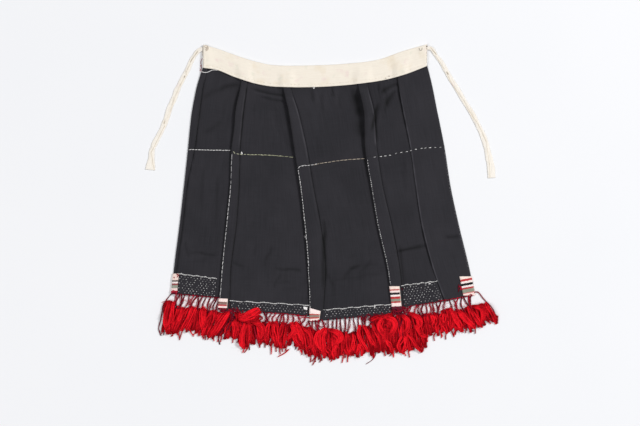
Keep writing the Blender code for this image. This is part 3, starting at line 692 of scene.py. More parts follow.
cotton_black = black_cotton()
places = cloth_places()
upper_rows = np.unique(np.concatenate([np.linspace(0, 1, 50), [UNDER_BAND, PAST_BAND]]))
upper_cloth = sheet_mesh("upper_cloth", cloth_points(places, upper_rows, upper_height, UPPER_LIFTS), WALL)
lower_rows = np.linspace(0, 1, 98)
lower_cloth = sheet_mesh("lower_cloth", cloth_points(places, lower_rows, lower_height, LOWER_LIFTS), WALL)
add_painted_shade_and_wear(upper_cloth)
add_painted_shade_and_wear(lower_cloth)
dress(upper_cloth, cotton_black, "black_cotton", "cloth_upper")
dress(lower_cloth, cotton_black, "black_cotton", "cloth_lower")

# The waistband: a strip of cream cotton about 80 mm wide, folded over the raw top edge of the black cloth.
# Its top edge is the fold. The lower edge of each leaf is turned in and sewn down through the cloth, and
# the front leaf rides up over every pleat that it holds.

BAND_WALL = 1.0
BAND_CLEAR = 1.6  # room beside a pleat before the front leaf climbs onto it
BAND_RISE = 8
TIE_ROOM = 12  # length at each end where the waistband also holds a tie
BAND_TURN_IN = 4.5  # width of the turned-in lower edge
BACK_ROWS = 8
FRONT_ROWS = 26
TURN_READING, FOLD_READING = 230, 210  # heights at which the turned edge and the folds are first read
BAND_SLACK = 0.45  # the front leaf lies this far off the cloth, and its creases dip no deeper
BAND_LIFT = 0.06  # of the whole waistband
# Faint stains: how fine the pattern is, the levels where a stain starts and where it is full, its colour.
CREAM_STAINS = ((26.0, 0.56, 0.78, "#E2CFAF"), (44.0, 0.6, 0.8, "#E3C6C4"), (61.0, 0.62, 0.8, "#DBDAC8"))
BEND_TURNS = (-60, -30, 0, 30, 60)

BAND_CREASES = [Crease(*row) for row in (
    (-200, 266, -184, 236, 3.0, 0.5, 1.5), (-190, 268, -176, 240, 4.0, -0.5, -1.5),
    (-168, 254, -120, 238, 3.5, 0.45, 2), (-150, 250, -146, 226, 5.0, 0.4, 1),
    (-118, 226, -60, 219, 5.0, -0.35, 1.5), (-58, 236, -54, 206, 4.0, 0.4, 1),
    (-40, 222, 30, 224, 5.0, 0.35, -2), (20, 238, 26, 208, 4.0, -0.35, 1), (66, 240, 72, 212, 3.5, 0.45, 1),
    (84, 236, 130, 250, 4.0, 0.4, 2), (118, 252, 124, 222, 3.0, -0.45, 1),
    (150, 262, 158, 232, 3.5, 0.5, 1), (166, 268, 176, 242, 3.0, -0.5, 1),
)]


def layers_under_band():
    """Knots of (place along the waistband, layers of black cloth under its front leaf)."""
    turn = line_x("hem_turn", band_bottom(line_x("hem_turn", TURN_READING)))
    knots = [(WAISTBAND[0].along, 2), (turn + BAND_CLEAR, 2), (turn + BAND_CLEAR + BAND_RISE, 1)]
    for panel, following in zip(PANELS, PANELS[1:]):
        fold, back = (
            line_x(line, band_bottom(line_x(line, FOLD_READING))) for line in (following.starts, panel.ends)
        )
        knots += [(fold - BAND_CLEAR - BAND_RISE, 1), (fold - BAND_CLEAR, 3)]
        knots += [(back + BAND_CLEAR + 1, 3), (back + BAND_CLEAR + 1 + BAND_RISE, 1)]
    return [*knots, (WAISTBAND[-1].along, 1)]


def band_column(x, layers):
    """Points round the waistband at one place: up the back leaf, round the fold and down the front."""
    from_end = min(x - WAISTBAND[0].along, WAISTBAND[-1].along - x)
    leaf_gap = LAYER * (1 + straight(from_end, ((0, 1), (TIE_ROOM, 1), (TIE_ROOM + 10, 0))))
    radius = leaf_gap / 2
    top = band_top(x) - BAND_WALL / 2 - radius
    bottom = band_bottom(x)
    points = [(x, y, BASE_Z) for y in np.linspace(bottom, top, BACK_ROWS)]
    for turn in BEND_TURNS:
        angle = math.radians(turn)
        points.append((x, top + radius * math.cos(angle), BASE_Z + radius * (1 + math.sin(angle))))
    for y in np.linspace(top, bottom, FRONT_ROWS):
        climbed = ease((top - y) / (top - bottom - TUCK - 2))
        z = mix(BASE_Z + leaf_gap, BASE_Z + LAYER * (1 + layers), climbed)
        above_edge = y - bottom
        z += 0.5 * ease((BAND_TURN_IN + 0.6 - above_edge) / 1.2)
        z -= 0.4 * math.exp(-(((above_edge - BAND_TURN_IN - 0.6) / 1.0) ** 2))
        points.append((x, y, z))
    return points


def cream_cotton():
    """Plain-woven cotton, unbleached and washed often: warm white and matt, with slubs and faint old stains.

    The real threads lie 0.5 mm apart; they are drawn at 1.1 mm so that they just show as a fine grain.
    """
    material, tree, shader = new_material("cream_cotton_plain_weave", 0.88, 0.15, 0.25)
    along = add_node(tree, "ShaderNodeUVMap", uv_map="cloth").outputs["UV"]
    stretched = add_node(tree, "ShaderNodeMapping", {"Vector": along, "Scale": (40.0, 640.0, 1.0)})
    feeds = {"Vector": stretched.outputs[0], "Scale": 1.0, "Detail": 2.0}
    slubs = add_node(tree, "ShaderNodeTexNoise", feeds)
    feeds = {"Factor": slubs.outputs["Fac"], "A": colour("#ECE2D2"), "B": colour("#F7EFE1")}
    tint = add_node(tree, "ShaderNodeMix", feeds, data_type="RGBA").outputs["Result"]
    for scale, least, most, stain in CREAM_STAINS:
        patch = add_node(tree, "ShaderNodeTexNoise", {"Vector": along, "Scale": scale, "Detail": 3.0})
        tint = overlay(tree, tint, stain, patch.outputs["Fac"], least, most, 0.6)
    # Painted light: the shade marks darken the cotton as painted shade and, below 0, make it paler, partly
    # as painted light; the waistband has no marks.
    shade = add_node(tree, "ShaderNodeAttribute", attribute_name="shade").outputs["Fac"]
    paler = add_node(tree, "ShaderNodeMath", {0: shade, 1: -1.0}, operation="MULTIPLY").outputs[0]
    for share, other in ((shade, "#6A5844"), (paler, "#FBF8F4")):
        feeds = {"Factor": share, "A": tint, "B": colour(other)}
        tint = add_node(tree, "ShaderNodeMix", feeds, data_type="RGBA").outputs["Result"]
    bump = weave_bump(tree, along, 0.55, 0.6, 0.15)
    tree.links.new(tint, shader.inputs["Base Color"])
    tree.links.new(bump.outputs[0], shader.inputs["Normal"])
    return material


cotton_cream = cream_cotton()
under_band = layers_under_band()
band_places = np.arange(WAISTBAND[0].along, WAISTBAND[-1].along + STITCH_STEP / 2, STITCH_STEP)
band_middles = np.array([band_column(x, straight(x, under_band)) for x in band_places]).transpose(1, 0, 2)
front_leaf = band_middles[BACK_ROWS + len(BEND_TURNS) :]
band_relief = crease_field(front_leaf[..., 0], front_leaf[..., 1], BAND_CREASES)
band_relief += slack_field(front_leaf[..., 0], front_leaf[..., 1])
front_leaf[..., 2] += BAND_SLACK + np.maximum(band_relief, -BAND_SLACK)
band_middles[..., 2] += BAND_LIFT
waistband = sheet_mesh("cream_waistband", band_middles, BAND_WALL)
dress(waistband, cotton_cream, "cream_cotton", "waistband")

# The ties: two cotton tapes, each a strip folded lengthwise, with its roots sewn between the waistband's
# leaves. They lie loosely on the board, creased where they have been knotted, and end in a torn, fraying
# edge.

TIE_WALL = 0.5
TIE_REST = 0.65  # height of a tie's middle where it lies on the board
TIE_HALF_GAP = 0.3  # from the middle of the tape to the middle of each of its two layers
TIE_ROWS = 190


class TieStation(NamedTuple):
    """A place along the middle of a tie, with the tape's width and the height of its middle."""

    x: float
    y: float
    width: float
    z: float = TIE_REST


class Pinch(NamedTuple):
    """A crease across a tie: how far along it lies, its length, and how it narrows and lifts the tape."""

    along: float
    spread: float
    narrows: float
    lifts: float


LEFT_TIE = [TieStation(*row) for row in (
    (-198, 268, 6, 1.8), (-208, 268, 6, 1.8), (-216, 263, 7, 1.3), (-226, 248, 8), (-233, 232, 8),
    (-241, 217, 8.5), (-251, 197, 9), (-256, 183, 9), (-264, 166, 9.5), (-269.5, 148, 9), (-279, 125, 9),
    (-288, 108, 9), (-294.5, 93, 9), (-296, 77, 11), (-298, 58, 16),
)]
RIGHT_TIE = [TieStation(*row) for row in (
    (177, 268, 5.5, 1.8), (187, 270, 5.5, 1.8), (193, 267, 6, 1.3), (199, 257, 6.5), (208, 246, 7),
    (216.5, 230.5, 7.5), (225, 216, 8), (235, 200.5, 8), (248.5, 177, 8), (260, 159, 8), (271, 138, 8.5),
    (280, 119.5, 9), (286.5, 100.5, 10), (291, 80.5, 11), (294.5, 64, 12), (296, 44, 13.5),
)]
LEFT_PINCHES = [Pinch(*row) for row in (
    (28, 3.0, 0.12, 0.5), (58, 2.0, 0.10, 0.9), (86, 4.0, 0.06, 0.7), (120, 2.5, 0.10, 0.5),
    (150, 2.2, 0.14, 1.1), (168, 3.5, 0.05, 0.6), (203, 2.6, 0.16, 1.3),
)]
RIGHT_PINCHES = [Pinch(*row) for row in (
    (30, 2.5, 0.14, 0.9), (62, 2.0, 0.12, 0.7), (95, 4.0, 0.05, 0.8), (132, 2.4, 0.10, 0.6),
    (166, 3.0, 0.06, 1.0), (214, 2.6, 0.12, 0.9), (238, 3.0, 0.05, 0.6),
)]


class TieShade(NamedTuple):
    """A line or spot on a tie painted darker, mostly painted shade along a fold: its places, half its width
    and its depth.
    """

    places: tuple
    width: float
    depth: float


TIE_SHADES = [TieShade(*row) for row in (
    (((-215.8, 263.6), (-220.8, 256.5), (-225.2, 250.6), (-228.5, 244.8)), 1.1, 0.66),
    (((-228.5, 241.9), (-232.5, 234.7), (-235.4, 227.4)), 1.1, 0.42),
    (((-236.4, 229), (-235.4, 223.2)), 1.4, 0.3), (((-238, 220.9), (-238.6, 219.4)), 1.5, 0.75),
    (((-239.8, 217.3), (-245.5, 205.7), (-251.3, 194), (-255.6, 182.5), (-259.3, 170.9), (-263.6, 159.2)),
     1.8, 0.2),
    (((-257.2, 185.3), (-260, 169.5)), 0.8, 0.34), (((-273, 142), (-273.9, 138.2)), 1.1, 0.75),
    (((-272.5, 134.7), (-279, 123), (-284.1, 112.9), (-289.2, 102.7), (-294.2, 92.6), (-296.8, 87.5)),
     1.1, 0.3),
    (((-296.3, 86.8), (-294.2, 75.2), (-293.5, 67.9), (-290.6, 58)), 1.5, 0.24),
    (((189.5, 270.9), (194.5, 264.3), (199.6, 258.6)), 1.0, 0.6),
    (((199.6, 255.6), (206.9, 243.4), (213.5, 233.2)), 1.1, 0.24),
    (((217.6, 227.8), (219.8, 224.3)), 1.4, 0.95),
    (((220.6, 220.8), (225.7, 208.6), (233, 198.4), (240.3, 188.3), (247.4, 178.2), (253.3, 166.5)),
     1.4, 0.24),
    (((253.3, 166.5), (263.8, 149.1), (270.9, 139), (276.8, 127.4), (282.6, 115.7), (286.2, 107)),
     1.2, 0.3),
    (((279.6, 120.1), (285.5, 107.7)), 0.8, 0.45),
    (((286.2, 105.6), (288.3, 92.6), (290.6, 78.1), (292, 66.5), (292, 59.2), (292.7, 44)), 1.0, 0.24),
    (((292, 69.5), (292, 65)), 0.9, 0.5),
)]
TIE_PALENESS_AND_LIGHT = 0.36  # each tie is painted this much paler than the waistband all over: partly its own colour, partly painted light


def add_shade(tie):
    """Marks a tie's painted colour: above 0 darker, mostly painted shade along folds; below 0 paler, partly
    painted light.
    """
    flat = spots_of(tie)[:, :2]
    shade = np.full(len(flat), -TIE_PALENESS_AND_LIGHT)
    for line in TIE_SHADES:
        for first, last in zip(line.places, line.places[1:]):
            first, run = np.array(first), np.subtract(last, first)
            share = np.clip((flat - first) @ run / (run @ run), 0, 1)
            gap = np.linalg.norm(flat - first - share[:, None] * run, axis=1)
            uneven = 0.85 + 0.15 * np.sin(flat[:, 1] / 2.3)
            near = np.exp(-((gap / line.width) ** 2))
            shade = np.maximum(shade, mix(-TIE_PALENESS_AND_LIGHT, line.depth * uneven, near))
    mark(tie.data, "shade", shade)


def tie_points(stations, pinches):
    """Rows of points across a folded tape: along its lower layer, round the fold and back on top."""
    reach = [0.0]
    for station, following in zip(stations, stations[1:]):
        reach.append(reach[-1] + math.hypot(following.x - station.x, following.y - station.y))
    along = np.linspace(0, reach[-1], TIE_ROWS)
    curves = {}
    for column in TieStation._fields:
        knots = [(distance, getattr(station, column)) for distance, station in zip(reach, stations)]
        curves[column] = np.array([smooth(distance, knots) for distance in along])
    near = [np.exp(-(((along - pinch.along) / pinch.spread) ** 2)) for pinch in pinches]
    narrows = sum(pinch.narrows * share for pinch, share in zip(pinches, near))
    lifts = sum(pinch.lifts * share for pinch, share in zip(pinches, near))
    uneven = 1 + 0.04 * np.sin(along / 7.3) + 0.03 * np.sin(along / 3.1 + 2)
    half = curves["width"] / 2 * (1 - narrows) * uneven
    step = np.stack([np.gradient(curves["x"]), np.gradient(curves["y"])], axis=1)
    step /= np.linalg.norm(step, axis=1, keepdims=True)
    side = np.stack([-step[:, 1], step[:, 0]], axis=1)
    lower = [(share, -1.0) for share in np.linspace(1, -0.94, 9)]
    upper = [(share, 1.0) for share in np.linspace(-0.94, 1, 19)]
    rows = []
    for share, layer in [*lower, (-1.0, -0.5), (-1.04, 0.0), (-1.0, 0.5), *upper]:
        top = 1.0 if layer == 1.0 else 0.0
        wrinkle = np.sin(along / 4.7 + 2.5 * share) * np.sin(along / 11 + 1.7 * share + 0.6)
        crown = (1 - share**2) * (0.35 + 0.9 * lifts + 0.25 * wrinkle)
        groove = np.exp(-(((share - 0.25 * np.sin(along / 26)) / 0.16) ** 2))
        crown -= 0.5 * groove * (0.6 + 0.4 * np.sin(along / 9))
        z = curves["z"] + TIE_HALF_GAP * layer + top * np.maximum(crown, 0)
        x = curves["x"] + side[:, 0] * half * share
        rows.append(np.stack([x, curves["y"] + side[:, 1] * half * share, z], 1))
    return np.stack(rows, axis=1)


left_tie = sheet_mesh("left_tie", tie_points(LEFT_TIE, LEFT_PINCHES), TIE_WALL)
right_tie = sheet_mesh("right_tie", tie_points(RIGHT_TIE, RIGHT_PINCHES), TIE_WALL)
for tie, node in ((left_tie, "tie_left"), (right_tie, "tie_right")):
    add_shade(tie)
    dress(tie, cotton_cream, "cream_cotton", node)

# The hem bands: four strips of black cotton sewn on above the hem, worked all over with short stitches in
# white. The strip is laid on the panel, chain-stitched along its top edge, and the white stitches go
# through both cloths.

HEM_BAND_WALL = 0.6
RAY_START = 60
BAND_INSET = 0.6  # a hem band stops this far short of the hem
HEM_DROP = 255.0  # rough length of the lower cloth, which turns a depth into a share


class HemBand(NamedTuple):
    """A strip of cotton sewn on above the hem of a panel, between two of its lines."""

    panel: int
    starts: str
    start_nudge: float
    ends: str
    end_nudge: float
    left_depth: float
    right_depth: float


HEM_BANDS = (
    HemBand(0, "left_edge", 9.6, "fold_1", -7.4, 35.5, 33.6),
    HemBand(1, "return_1", 3.6, "fold_2", -2.4, 15.4, 17),
    HemBand(2, "return_2", 0.2, "fold_3", -2.4, 17, 17),
    HemBand(3, "return_3", 1.6, "fold_4", -2.4, 36.4, 34),
)


def surface_tree(*pieces):
    """The faces of pieces that other things are laid on, in millimetres."""
    vertices, faces = [], []
    for piece in pieces:
        start = len(vertices)
        vertices += [vertex.co / MM for vertex in piece.data.vertices]
        faces += [[start + corner for corner in polygon.vertices] for polygon in piece.data.polygons]
    return BVHTree.FromPolygons(vertices, faces)


def drop(tree, x, y):
    """Height of the topmost surface at a place, which is the board's where no cloth lies."""
    found = tree.ray_cast((x, y, RAY_START), (0, 0, -1))[0]
    return found.z if found else 0.0


def hem_point(panel, line, down, nudge=0.0):
    """A point of the lower cloth on one of its lines."""
    share = min(max(share_of(panel, line), 0), 1)
    y = lower_height(panel, share, down)
    return line_x(line, y) + nudge, y


def hem_band_place(band, across, down):
    """A place on a hem band, by its shares across from the left and down from its top edge."""
    panel = PANELS[band.panel]
    depth = mix(band.left_depth, band.right_depth, across)
    height = mix(1 - depth / HEM_DROP, 1 - BAND_INSET / HEM_DROP, down)
    left = hem_point(panel, band.starts, height, band.start_nudge)
    right = hem_point(panel, band.ends, height, band.end_nudge)
    return mix(left[0], right[0], across), mix(left[1], right[1], across)


cloth_tree = surface_tree(lower_cloth)
hem_bands = []
for number, band in enumerate(HEM_BANDS, 1):
    left, right = hem_band_place(band, 0, 0.5), hem_band_place(band, 1, 0.5)
    columns = np.linspace(0, 1, round((right[0] - left[0]) / STITCH_STEP) + 1)
    rows = np.linspace(0, 1, 12)
    spots = [[hem_band_place(band, across, down) for across in columns] for down in rows]
    laid = np.array([[(x, y, drop(cloth_tree, x, y)) for x, y in row] for row in spots])
    laid[..., 2] += 0.5 + 0.25 * np.maximum(slack_field(laid[..., 0] * 1.7, laid[..., 1] * 1.7), -0.4)
    hem_band = sheet_mesh(f"stitched_hem_band_{number}", laid, HEM_BAND_WALL)
    dress(hem_band, cotton_black, "black_cotton", f"hem_band_{number}")
    hem_bands.append(hem_band)

# The tabs: five short lengths of one narrow woven band, striped across in red, white, black and grey-green.
# Each is bent over the edge of the cloth at the foot of a fold, with its selvedge left pale, and sewn down.

TAB_WALL = 0.9


class Tab(NamedTuple):
    """A tab on the foot of a fold: the edge it is bent over, which way, its size and how it is cut."""

    panel: int
    line: str
    way: int
    layers: int
    on_surface: bool
    width: float
    depth: float
    pale_side: int  # +1 where the pale selvedge is at the bent edge, -1 where it is at the other
    slant: float  # rise of the stripes from left to right
    top_drop: float  # how much lower the top's inner corner is than its outer one
    narrowing: float  # share by which the foot is narrower than the top
    stripes: tuple  # share of the depth at which each stripe starts, from the top down, and its colour


TABS = (
    Tab(0, "left_edge", -1, 2, True, 9.2, 36.5, 1, 0.3, 0, 0, (
        (0.0, "#F1DBD3"), (0.32, "#1D2420"), (0.385, "#F4E9E6"), (0.47, "#8E454A"), (0.552, "#969F93"),
        (0.7, "#F3DAD6"), (0.82, "#BE2840"), (0.92, "#5E1428"),
    )),
    Tab(1, "fold_1", -1, 3, False, 14.6, 18.6, -1, -0.6, 0.6, 0, (
        (0.0, "#FFE9E4"), (0.3, "#84746E"), (0.38, "#8E5650"), (0.45, "#8D8883"), (0.55, "#BC4049"),
        (0.7, "#FFE3E0"), (0.87, "#561226"),
    )),
    Tab(2, "fold_2", -1, 3, False, 18.2, 23, -1, 3.2, 5.2, 0.14, (
        (0.0, "#FFEDEA"), (0.35, "#C04C48"), (0.43, "#96867E"), (0.62, "#BC4444"), (0.72, "#FFE6E2"),
        (0.89, "#3C1520"),
    )),
    Tab(3, "fold_3", -1, 3, False, 16.2, 39, -1, 1.2, 0, 0.03, (
        (0.0, "#FBE6DC"), (0.13, "#B6423F"), (0.19, "#FBE6E2"), (0.28, "#1D1A1E"), (0.38, "#FCEFEC"),
        (0.462, "#B93C40"), (0.57, "#8E9A8B"), (0.675, "#B4403F"), (0.747, "#FCE9E4"), (0.9, "#5A1428"),
    )),
    Tab(4, "right_edge", 1, 1, True, 20, 33, 1, 4.0, 0, 0, (
        (0.0, "#FCEBE2"), (0.12, "#BC363C"), (0.235, "#FAECE8"), (0.345, "#1B1A1D"), (0.475, "#FAEEEC"),
        (0.57, "#B93B40"), (0.66, "#8F9A8B"), (0.85, "#D0666A"), (0.89, "#FCE4DE"),
    )),
)


def striped_weave(number, stripes):
    """A hand-woven, warp-faced cotton band with a white selvedge: ribbed, its stripes uneven at the edges.

    The ribs of the real band are 0.7 mm apart and are drawn at 1.2 mm so that they show.
    """
    material, tree, shader = new_material(f"striped_hand_weave_{number}", 0.9, 0.12, 0.25)
    place = add_node(tree, "ShaderNodeUVMap", uv_map="cloth").outputs["UV"]
    split = add_node(tree, "ShaderNodeSeparateXYZ", {0: place})
    waver = add_node(tree, "ShaderNodeTexNoise", {"Vector": place, "Scale": 260.0, "Detail": 1.0})
    shifted = add_node(
        tree,
        "ShaderNodeMapRange",
        {"Value": waver.outputs["Fac"], "From Min": 0.3, "From Max": 0.7, "To Min": -0.02, "To Max": 0.02},
    )
    run = add_node(tree, "ShaderNodeMath", {0: split.outputs["Y"], 1: shifted.outputs[0]}, operation="ADD")
    ramp = add_node(tree, "ShaderNodeValToRGB", {"Fac": run.outputs[0]})
    ramp.color_ramp.interpolation = "CONSTANT"
    for order, (start, stripe) in enumerate(stripes):
        stop = ramp.color_ramp.elements[0] if order == 0 else ramp.color_ramp.elements.new(start)
        stop.color = colour(stripe)
    ramp.color_ramp.elements.remove(ramp.color_ramp.elements[-1])
    pale = add_node(
        tree,
        "ShaderNodeMapRange",
        {"Value": split.outputs["X"], "From Min": 0.0009, "From Max": 0.0015, "To Min": 0.6, "To Max": 0.0},
    )
    above_foot = add_node(tree, "ShaderNodeMath", {0: run.outputs[0], 1: 0.86}, operation="LESS_THAN")
    both = {0: pale.outputs[0], 1: above_foot.outputs[0]}
    pale_share = add_node(tree, "ShaderNodeMath", both, operation="MULTIPLY")
    edged = add_node(
        tree,
        "ShaderNodeMix",
        {"Factor": pale_share.outputs[0], "A": ramp.outputs["Color"], "B": colour("#EADFD3")},
        data_type="RGBA",
    )
    fibres = add_node(tree, "ShaderNodeTexNoise", {"Vector": place, "Scale": 900.0, "Detail": 2.0})
    tint = add_node(
        tree,
        "ShaderNodeMix",
        {"Factor": fibres.outputs["Fac"], "A": edged.outputs["Result"], "B": colour("#B9A79E")},
        data_type="RGBA",
        blend_type="SOFT_LIGHT",
    )
    turns = math.pi / 0.0006
    angle = add_node(tree, "ShaderNodeMath", {0: split.outputs["X"], 1: turns}, operation="MULTIPLY")
    ribs = add_node(tree, "ShaderNodeMath", {0: angle.outputs[0]}, operation="SINE")
    bump = add_node(tree, "ShaderNodeBump", {"Height": ribs.outputs[0], "Strength": 0.6, "Distance": 0.0002})
    tree.links.new(tint.outputs["Result"], shader.inputs["Base Color"])
    tree.links.new(bump.outputs[0], shader.inputs["Normal"])
    return material


def tab_section(tab, down):
    """Points across a tab at one share of the way down it, from its inner edge round the bent edge."""
    edge_x, y = hem_point(PANELS[tab.panel], tab.line, down)
    reach = (WALL / 2 if tab.on_surface and tab.way == 1 else WALL / 2 + 0.3) + TAB_WALL / 2
    radius = min(reach, 0.8)
    front = BASE_Z + tab.layers * LAYER
    foot = TAB_WALL / 2 if tab.on_surface else LAYER
    out = edge_x + tab.way * reach
    inner = edge_x - tab.way * tab.width
    section = [(x, y, front) for x in np.linspace(inner, out - tab.way * radius, 11)]
    for turn in (30, 60):
        angle = math.radians(turn)
        x = out - tab.way * radius * (1 - math.sin(angle))
        section.append((x, y, front - radius * (1 - math.cos(angle))))
    section += [(out, y, z) for z in np.linspace(front - radius, foot, 3)]
    return section if tab.way == 1 else section[::-1]


tab_pieces = []
for number, tab in enumerate(TABS, 1):
    downs = np.linspace(1 - tab.depth / HEM_DROP, 1, 16)
    middles = np.array([tab_section(tab, down) for down in downs])
    bent_edge = middles[..., 0].min(axis=1) if tab.way == -1 else middles[..., 0].max(axis=1)
    inward = middles[..., 0] - bent_edge[:, None]
    to_top = np.linspace(1, 0, len(downs))[:, None]
    middles[..., 1] -= tab.top_drop * to_top * np.abs(inward) / tab.width
    middles[..., 0] -= inward * tab.narrowing * (1 - to_top)
    own_z = middles[..., 2].copy()
    front = own_z.max() - 0.1
    for row, column in np.ndindex(own_z.shape):
        if own_z[row, column] > front:
            x, y = middles[row, column, :2]
            beneath = max(drop(cloth_tree, x + aside, y) for aside in (-1.5, 0, 1.5))
            own_z[row, column] = max(own_z[row, column], beneath + TAB_WALL / 2 + 0.25)
    middles[..., 2] = own_z + 0.12 * np.sin(middles[..., 0] / 2.3 + middles[..., 1] / 3.1) * (own_z > 2)
    piece = sheet_mesh(f"woven_tab_{number}", middles, TAB_WALL)
    layer = piece.data.uv_layers["cloth"].uv
    place = np.empty(len(layer) * 2, np.float32)
    layer.foreach_get("vector", place)
    place = place.reshape(-1, 2)
    wide = place[:, 0].max()
    slanted = (place[:, 0] / wide - 0.5) * tab.slant * MM - place[:, 1]
    from_pale = wide - place[:, 0] if tab.way * tab.pale_side == 1 else place[:, 0]
    place = np.stack([from_pale, np.clip(slanted / (tab.depth * MM), 0.001, 0.999)], axis=1)
    layer.foreach_set("vector", place.reshape(-1).astype(np.float32))
    dress(piece, striped_weave(number, tab.stripes), "striped_weave", f"tab_{number}")
    tab_pieces.append(piece)

# The sewing: cotton thread in white, olive and tan along the cross seam, and white down the folds and side
# edges. Each stitch comes up through the cloth, lies on it and goes down again; the hem bands have a line
# of chain stitch along the top and are filled with short single stitches in a loose lattice.

SEAM_THREAD = 1.15
FINE_THREAD = 0.85
THREAD_FLOOR = 0.03  # no strand reaches lower than this over the board
DOT_PITCH = (5.6, 3.85)  # the lattice of single stitches, across and down
CHAIN_LINK = 4.3
STITCH_ARCH = np.array([-0.6, 0.3, 0.42, 0.3, -0.6])  # height along a stitch, in thicknesses of its thread
STITCH_TAPER = np.array([0.6, 1.0, 1.05, 1.0, 0.6])  # thickness along it, as a share of its thread's


class StitchLine(NamedTuple):
    """A line of running stitches: its places, the stitches' length, gap and thickness, and their tones."""

    points: tuple
    length: float
    gap: float
    thickness: float
    least_tone: float
    most_tone: float


def strands(name, paths, thickness, tones, sides=6, rings=0, ply=0.0, pitch=6.0):
    """Threads or yarns as one mesh of tubes, with a UV map round and along them and a tone at each point.

    Each path is an array of points along a thread's middle, and the first few are rings that close on
    themselves. Thickness and tone hold a number, or an array over its points, for each path. Ply is how deep
    the groove between two plies is, as a share of the radius, and pitch is how far along one turn takes.
    """
    angles = 2 * np.pi * np.arange(sides) / sides
    vertices, quads, caps, maps, shades = [], [], [], [], []
    start = 0
    for number, (path, width, tone) in enumerate(zip(paths, thickness, tones)):
        count, closed = len(path), number < rings
        if closed:
            ahead = np.roll(path, -1, axis=0) - np.roll(path, 1, axis=0)
            steps = np.linalg.norm(np.roll(path, -1, axis=0) - path, axis=1)
        else:
            ahead = np.gradient(path, axis=0)
            steps = np.linalg.norm(np.diff(path, axis=0), axis=1)
        along = np.concatenate([[0], np.cumsum(steps)])
        ahead /= np.linalg.norm(ahead, axis=1, keepdims=True) + 1e-9
        side = np.cross(ahead, (0.0, 0.0, 1.0)) + (1e-6, 0.0, 0.0)
        side /= np.linalg.norm(side, axis=1, keepdims=True)
        lift = np.cross(side, ahead)
        turns = along / pitch
        if closed:
            turns = turns * round(turns[-1]) / turns[-1]
        groove = 1 + ply * np.cos(2 * (angles - 2 * np.pi * turns[:count, None]))
        radius = np.broadcast_to(np.asarray(width) / 2, count)[:, None] * groove
        round_it = np.cos(angles)[:, None] * side[:, None] + np.sin(angles)[:, None] * lift[:, None]
        tube = path[:, None] + radius[..., None] * round_it
        tube[..., 2] = np.maximum(tube[..., 2], THREAD_FLOOR)
        vertices.append(tube.reshape(-1, 3))
        shades.append(np.repeat(np.broadcast_to(np.asarray(tone, float), count), sides))
        spans = count if closed else count - 1
        ring, corner = np.meshgrid(np.arange(spans), np.arange(sides), indexing="ij")
        onward, beside = (ring + 1) % count, (corner + 1) % sides
        here, there = ring * sides, onward * sides
        square = [here + corner, there + corner, there + beside, here + beside]
        quads.append(start + np.stack(square, axis=-1).reshape(-1, 4))
        around, further = corner / sides, along[ring] * MM
        beyond, next_round = along[ring + 1] * MM, around + 1 / sides
        unrolled = [around, further, around, beyond, next_round, beyond, next_round, further]
        maps.append(np.stack(unrolled, axis=-1).reshape(-1, 2))
        if not closed:
            last = start + (count - 1) * sides
            caps += [list(range(start, start + sides)), list(range(last + sides - 1, last - 1, -1))]
        start += count * sides
    mesh = bpy.data.meshes.new(name)
    mesh.from_pydata(np.concatenate(vertices) * MM, [], np.concatenate(quads).tolist() + caps)
    loose_maps = np.zeros((len(caps) * sides, 2))
    mesh.uv_layers.new(name="yarn").uv.foreach_set(
        "vector", np.concatenate([*maps, loose_maps]).reshape(-1).astype(np.float32)
    )
    mark(mesh, "tone", np.concatenate(shades))
    mesh.shade_smooth()
    return new_piece(name, mesh)


def yarn(name, dark, light, roughness, sheen, pitch, depth, down="#FFFFFF"):
    """A spun and plied yarn: matt, with slanting grooves between its plies and a soft, coloured down.

    Each strand's own tone picks a colour between the dark and the light one.
    """
    material, tree, shader = new_material(name, roughness, sheen, 0.1)
    shader.inputs["Sheen Roughness"].default_value = 0.4
    shader.inputs["Sheen Tint"].default_value = colour(down)
    tone = add_node(tree, "ShaderNodeAttribute", attribute_name="tone").outputs["Fac"]
    place = add_node(tree, "ShaderNodeTexCoord").outputs["Object"]
    fibres = add_node(tree, "ShaderNodeTexNoise", {"Vector": place, "Scale": 1100.0, "Detail": 2.0})
    varied = add_node(
        tree,
        "ShaderNodeMapRange",
        {"Value": fibres.outputs["Fac"], "From Min": 0.3, "From Max": 0.7, "To Min": -0.22, "To Max": 0.22},
    )
    feeds = {0: tone, 1: varied.outputs[0]}
    share = add_node(tree, "ShaderNodeMath", feeds, operation="ADD", use_clamp=True)
    tint = add_node(
        tree,
        "ShaderNodeMix",
        {"Factor": share.outputs[0], "A": colour(dark), "B": colour(light)},
        data_type="RGBA",
    )
    along = add_node(tree, "ShaderNodeUVMap", uv_map="yarn").outputs["UV"]
    split = add_node(tree, "ShaderNodeSeparateXYZ", {0: along})
    around = add_node(tree, "ShaderNodeMath", {0: split.outputs["X"], 1: 4 * math.pi}, operation="MULTIPLY")
    slope = -4 * math.pi / (pitch * MM)
    feeds = {0: split.outputs["Y"], 1: slope, 2: around.outputs[0]}
    turned = add_node(tree, "ShaderNodeMath", feeds, operation="MULTIPLY_ADD")
    plies = add_node(tree, "ShaderNodeMath", {0: turned.outputs[0]}, operation="COSINE")
    feeds = {0: fibres.outputs["Fac"], 1: 1.5, 2: plies.outputs[0]}
    height = add_node(tree, "ShaderNodeMath", feeds, operation="MULTIPLY_ADD")
    feeds = {"Height": height.outputs[0], "Strength": 0.7, "Distance": depth * MM}
    bump = add_node(tree, "ShaderNodeBump", feeds)
    tree.links.new(tint.outputs["Result"], shader.inputs["Base Color"])
    tree.links.new(bump.outputs[0], shader.inputs["Normal"])
    return material


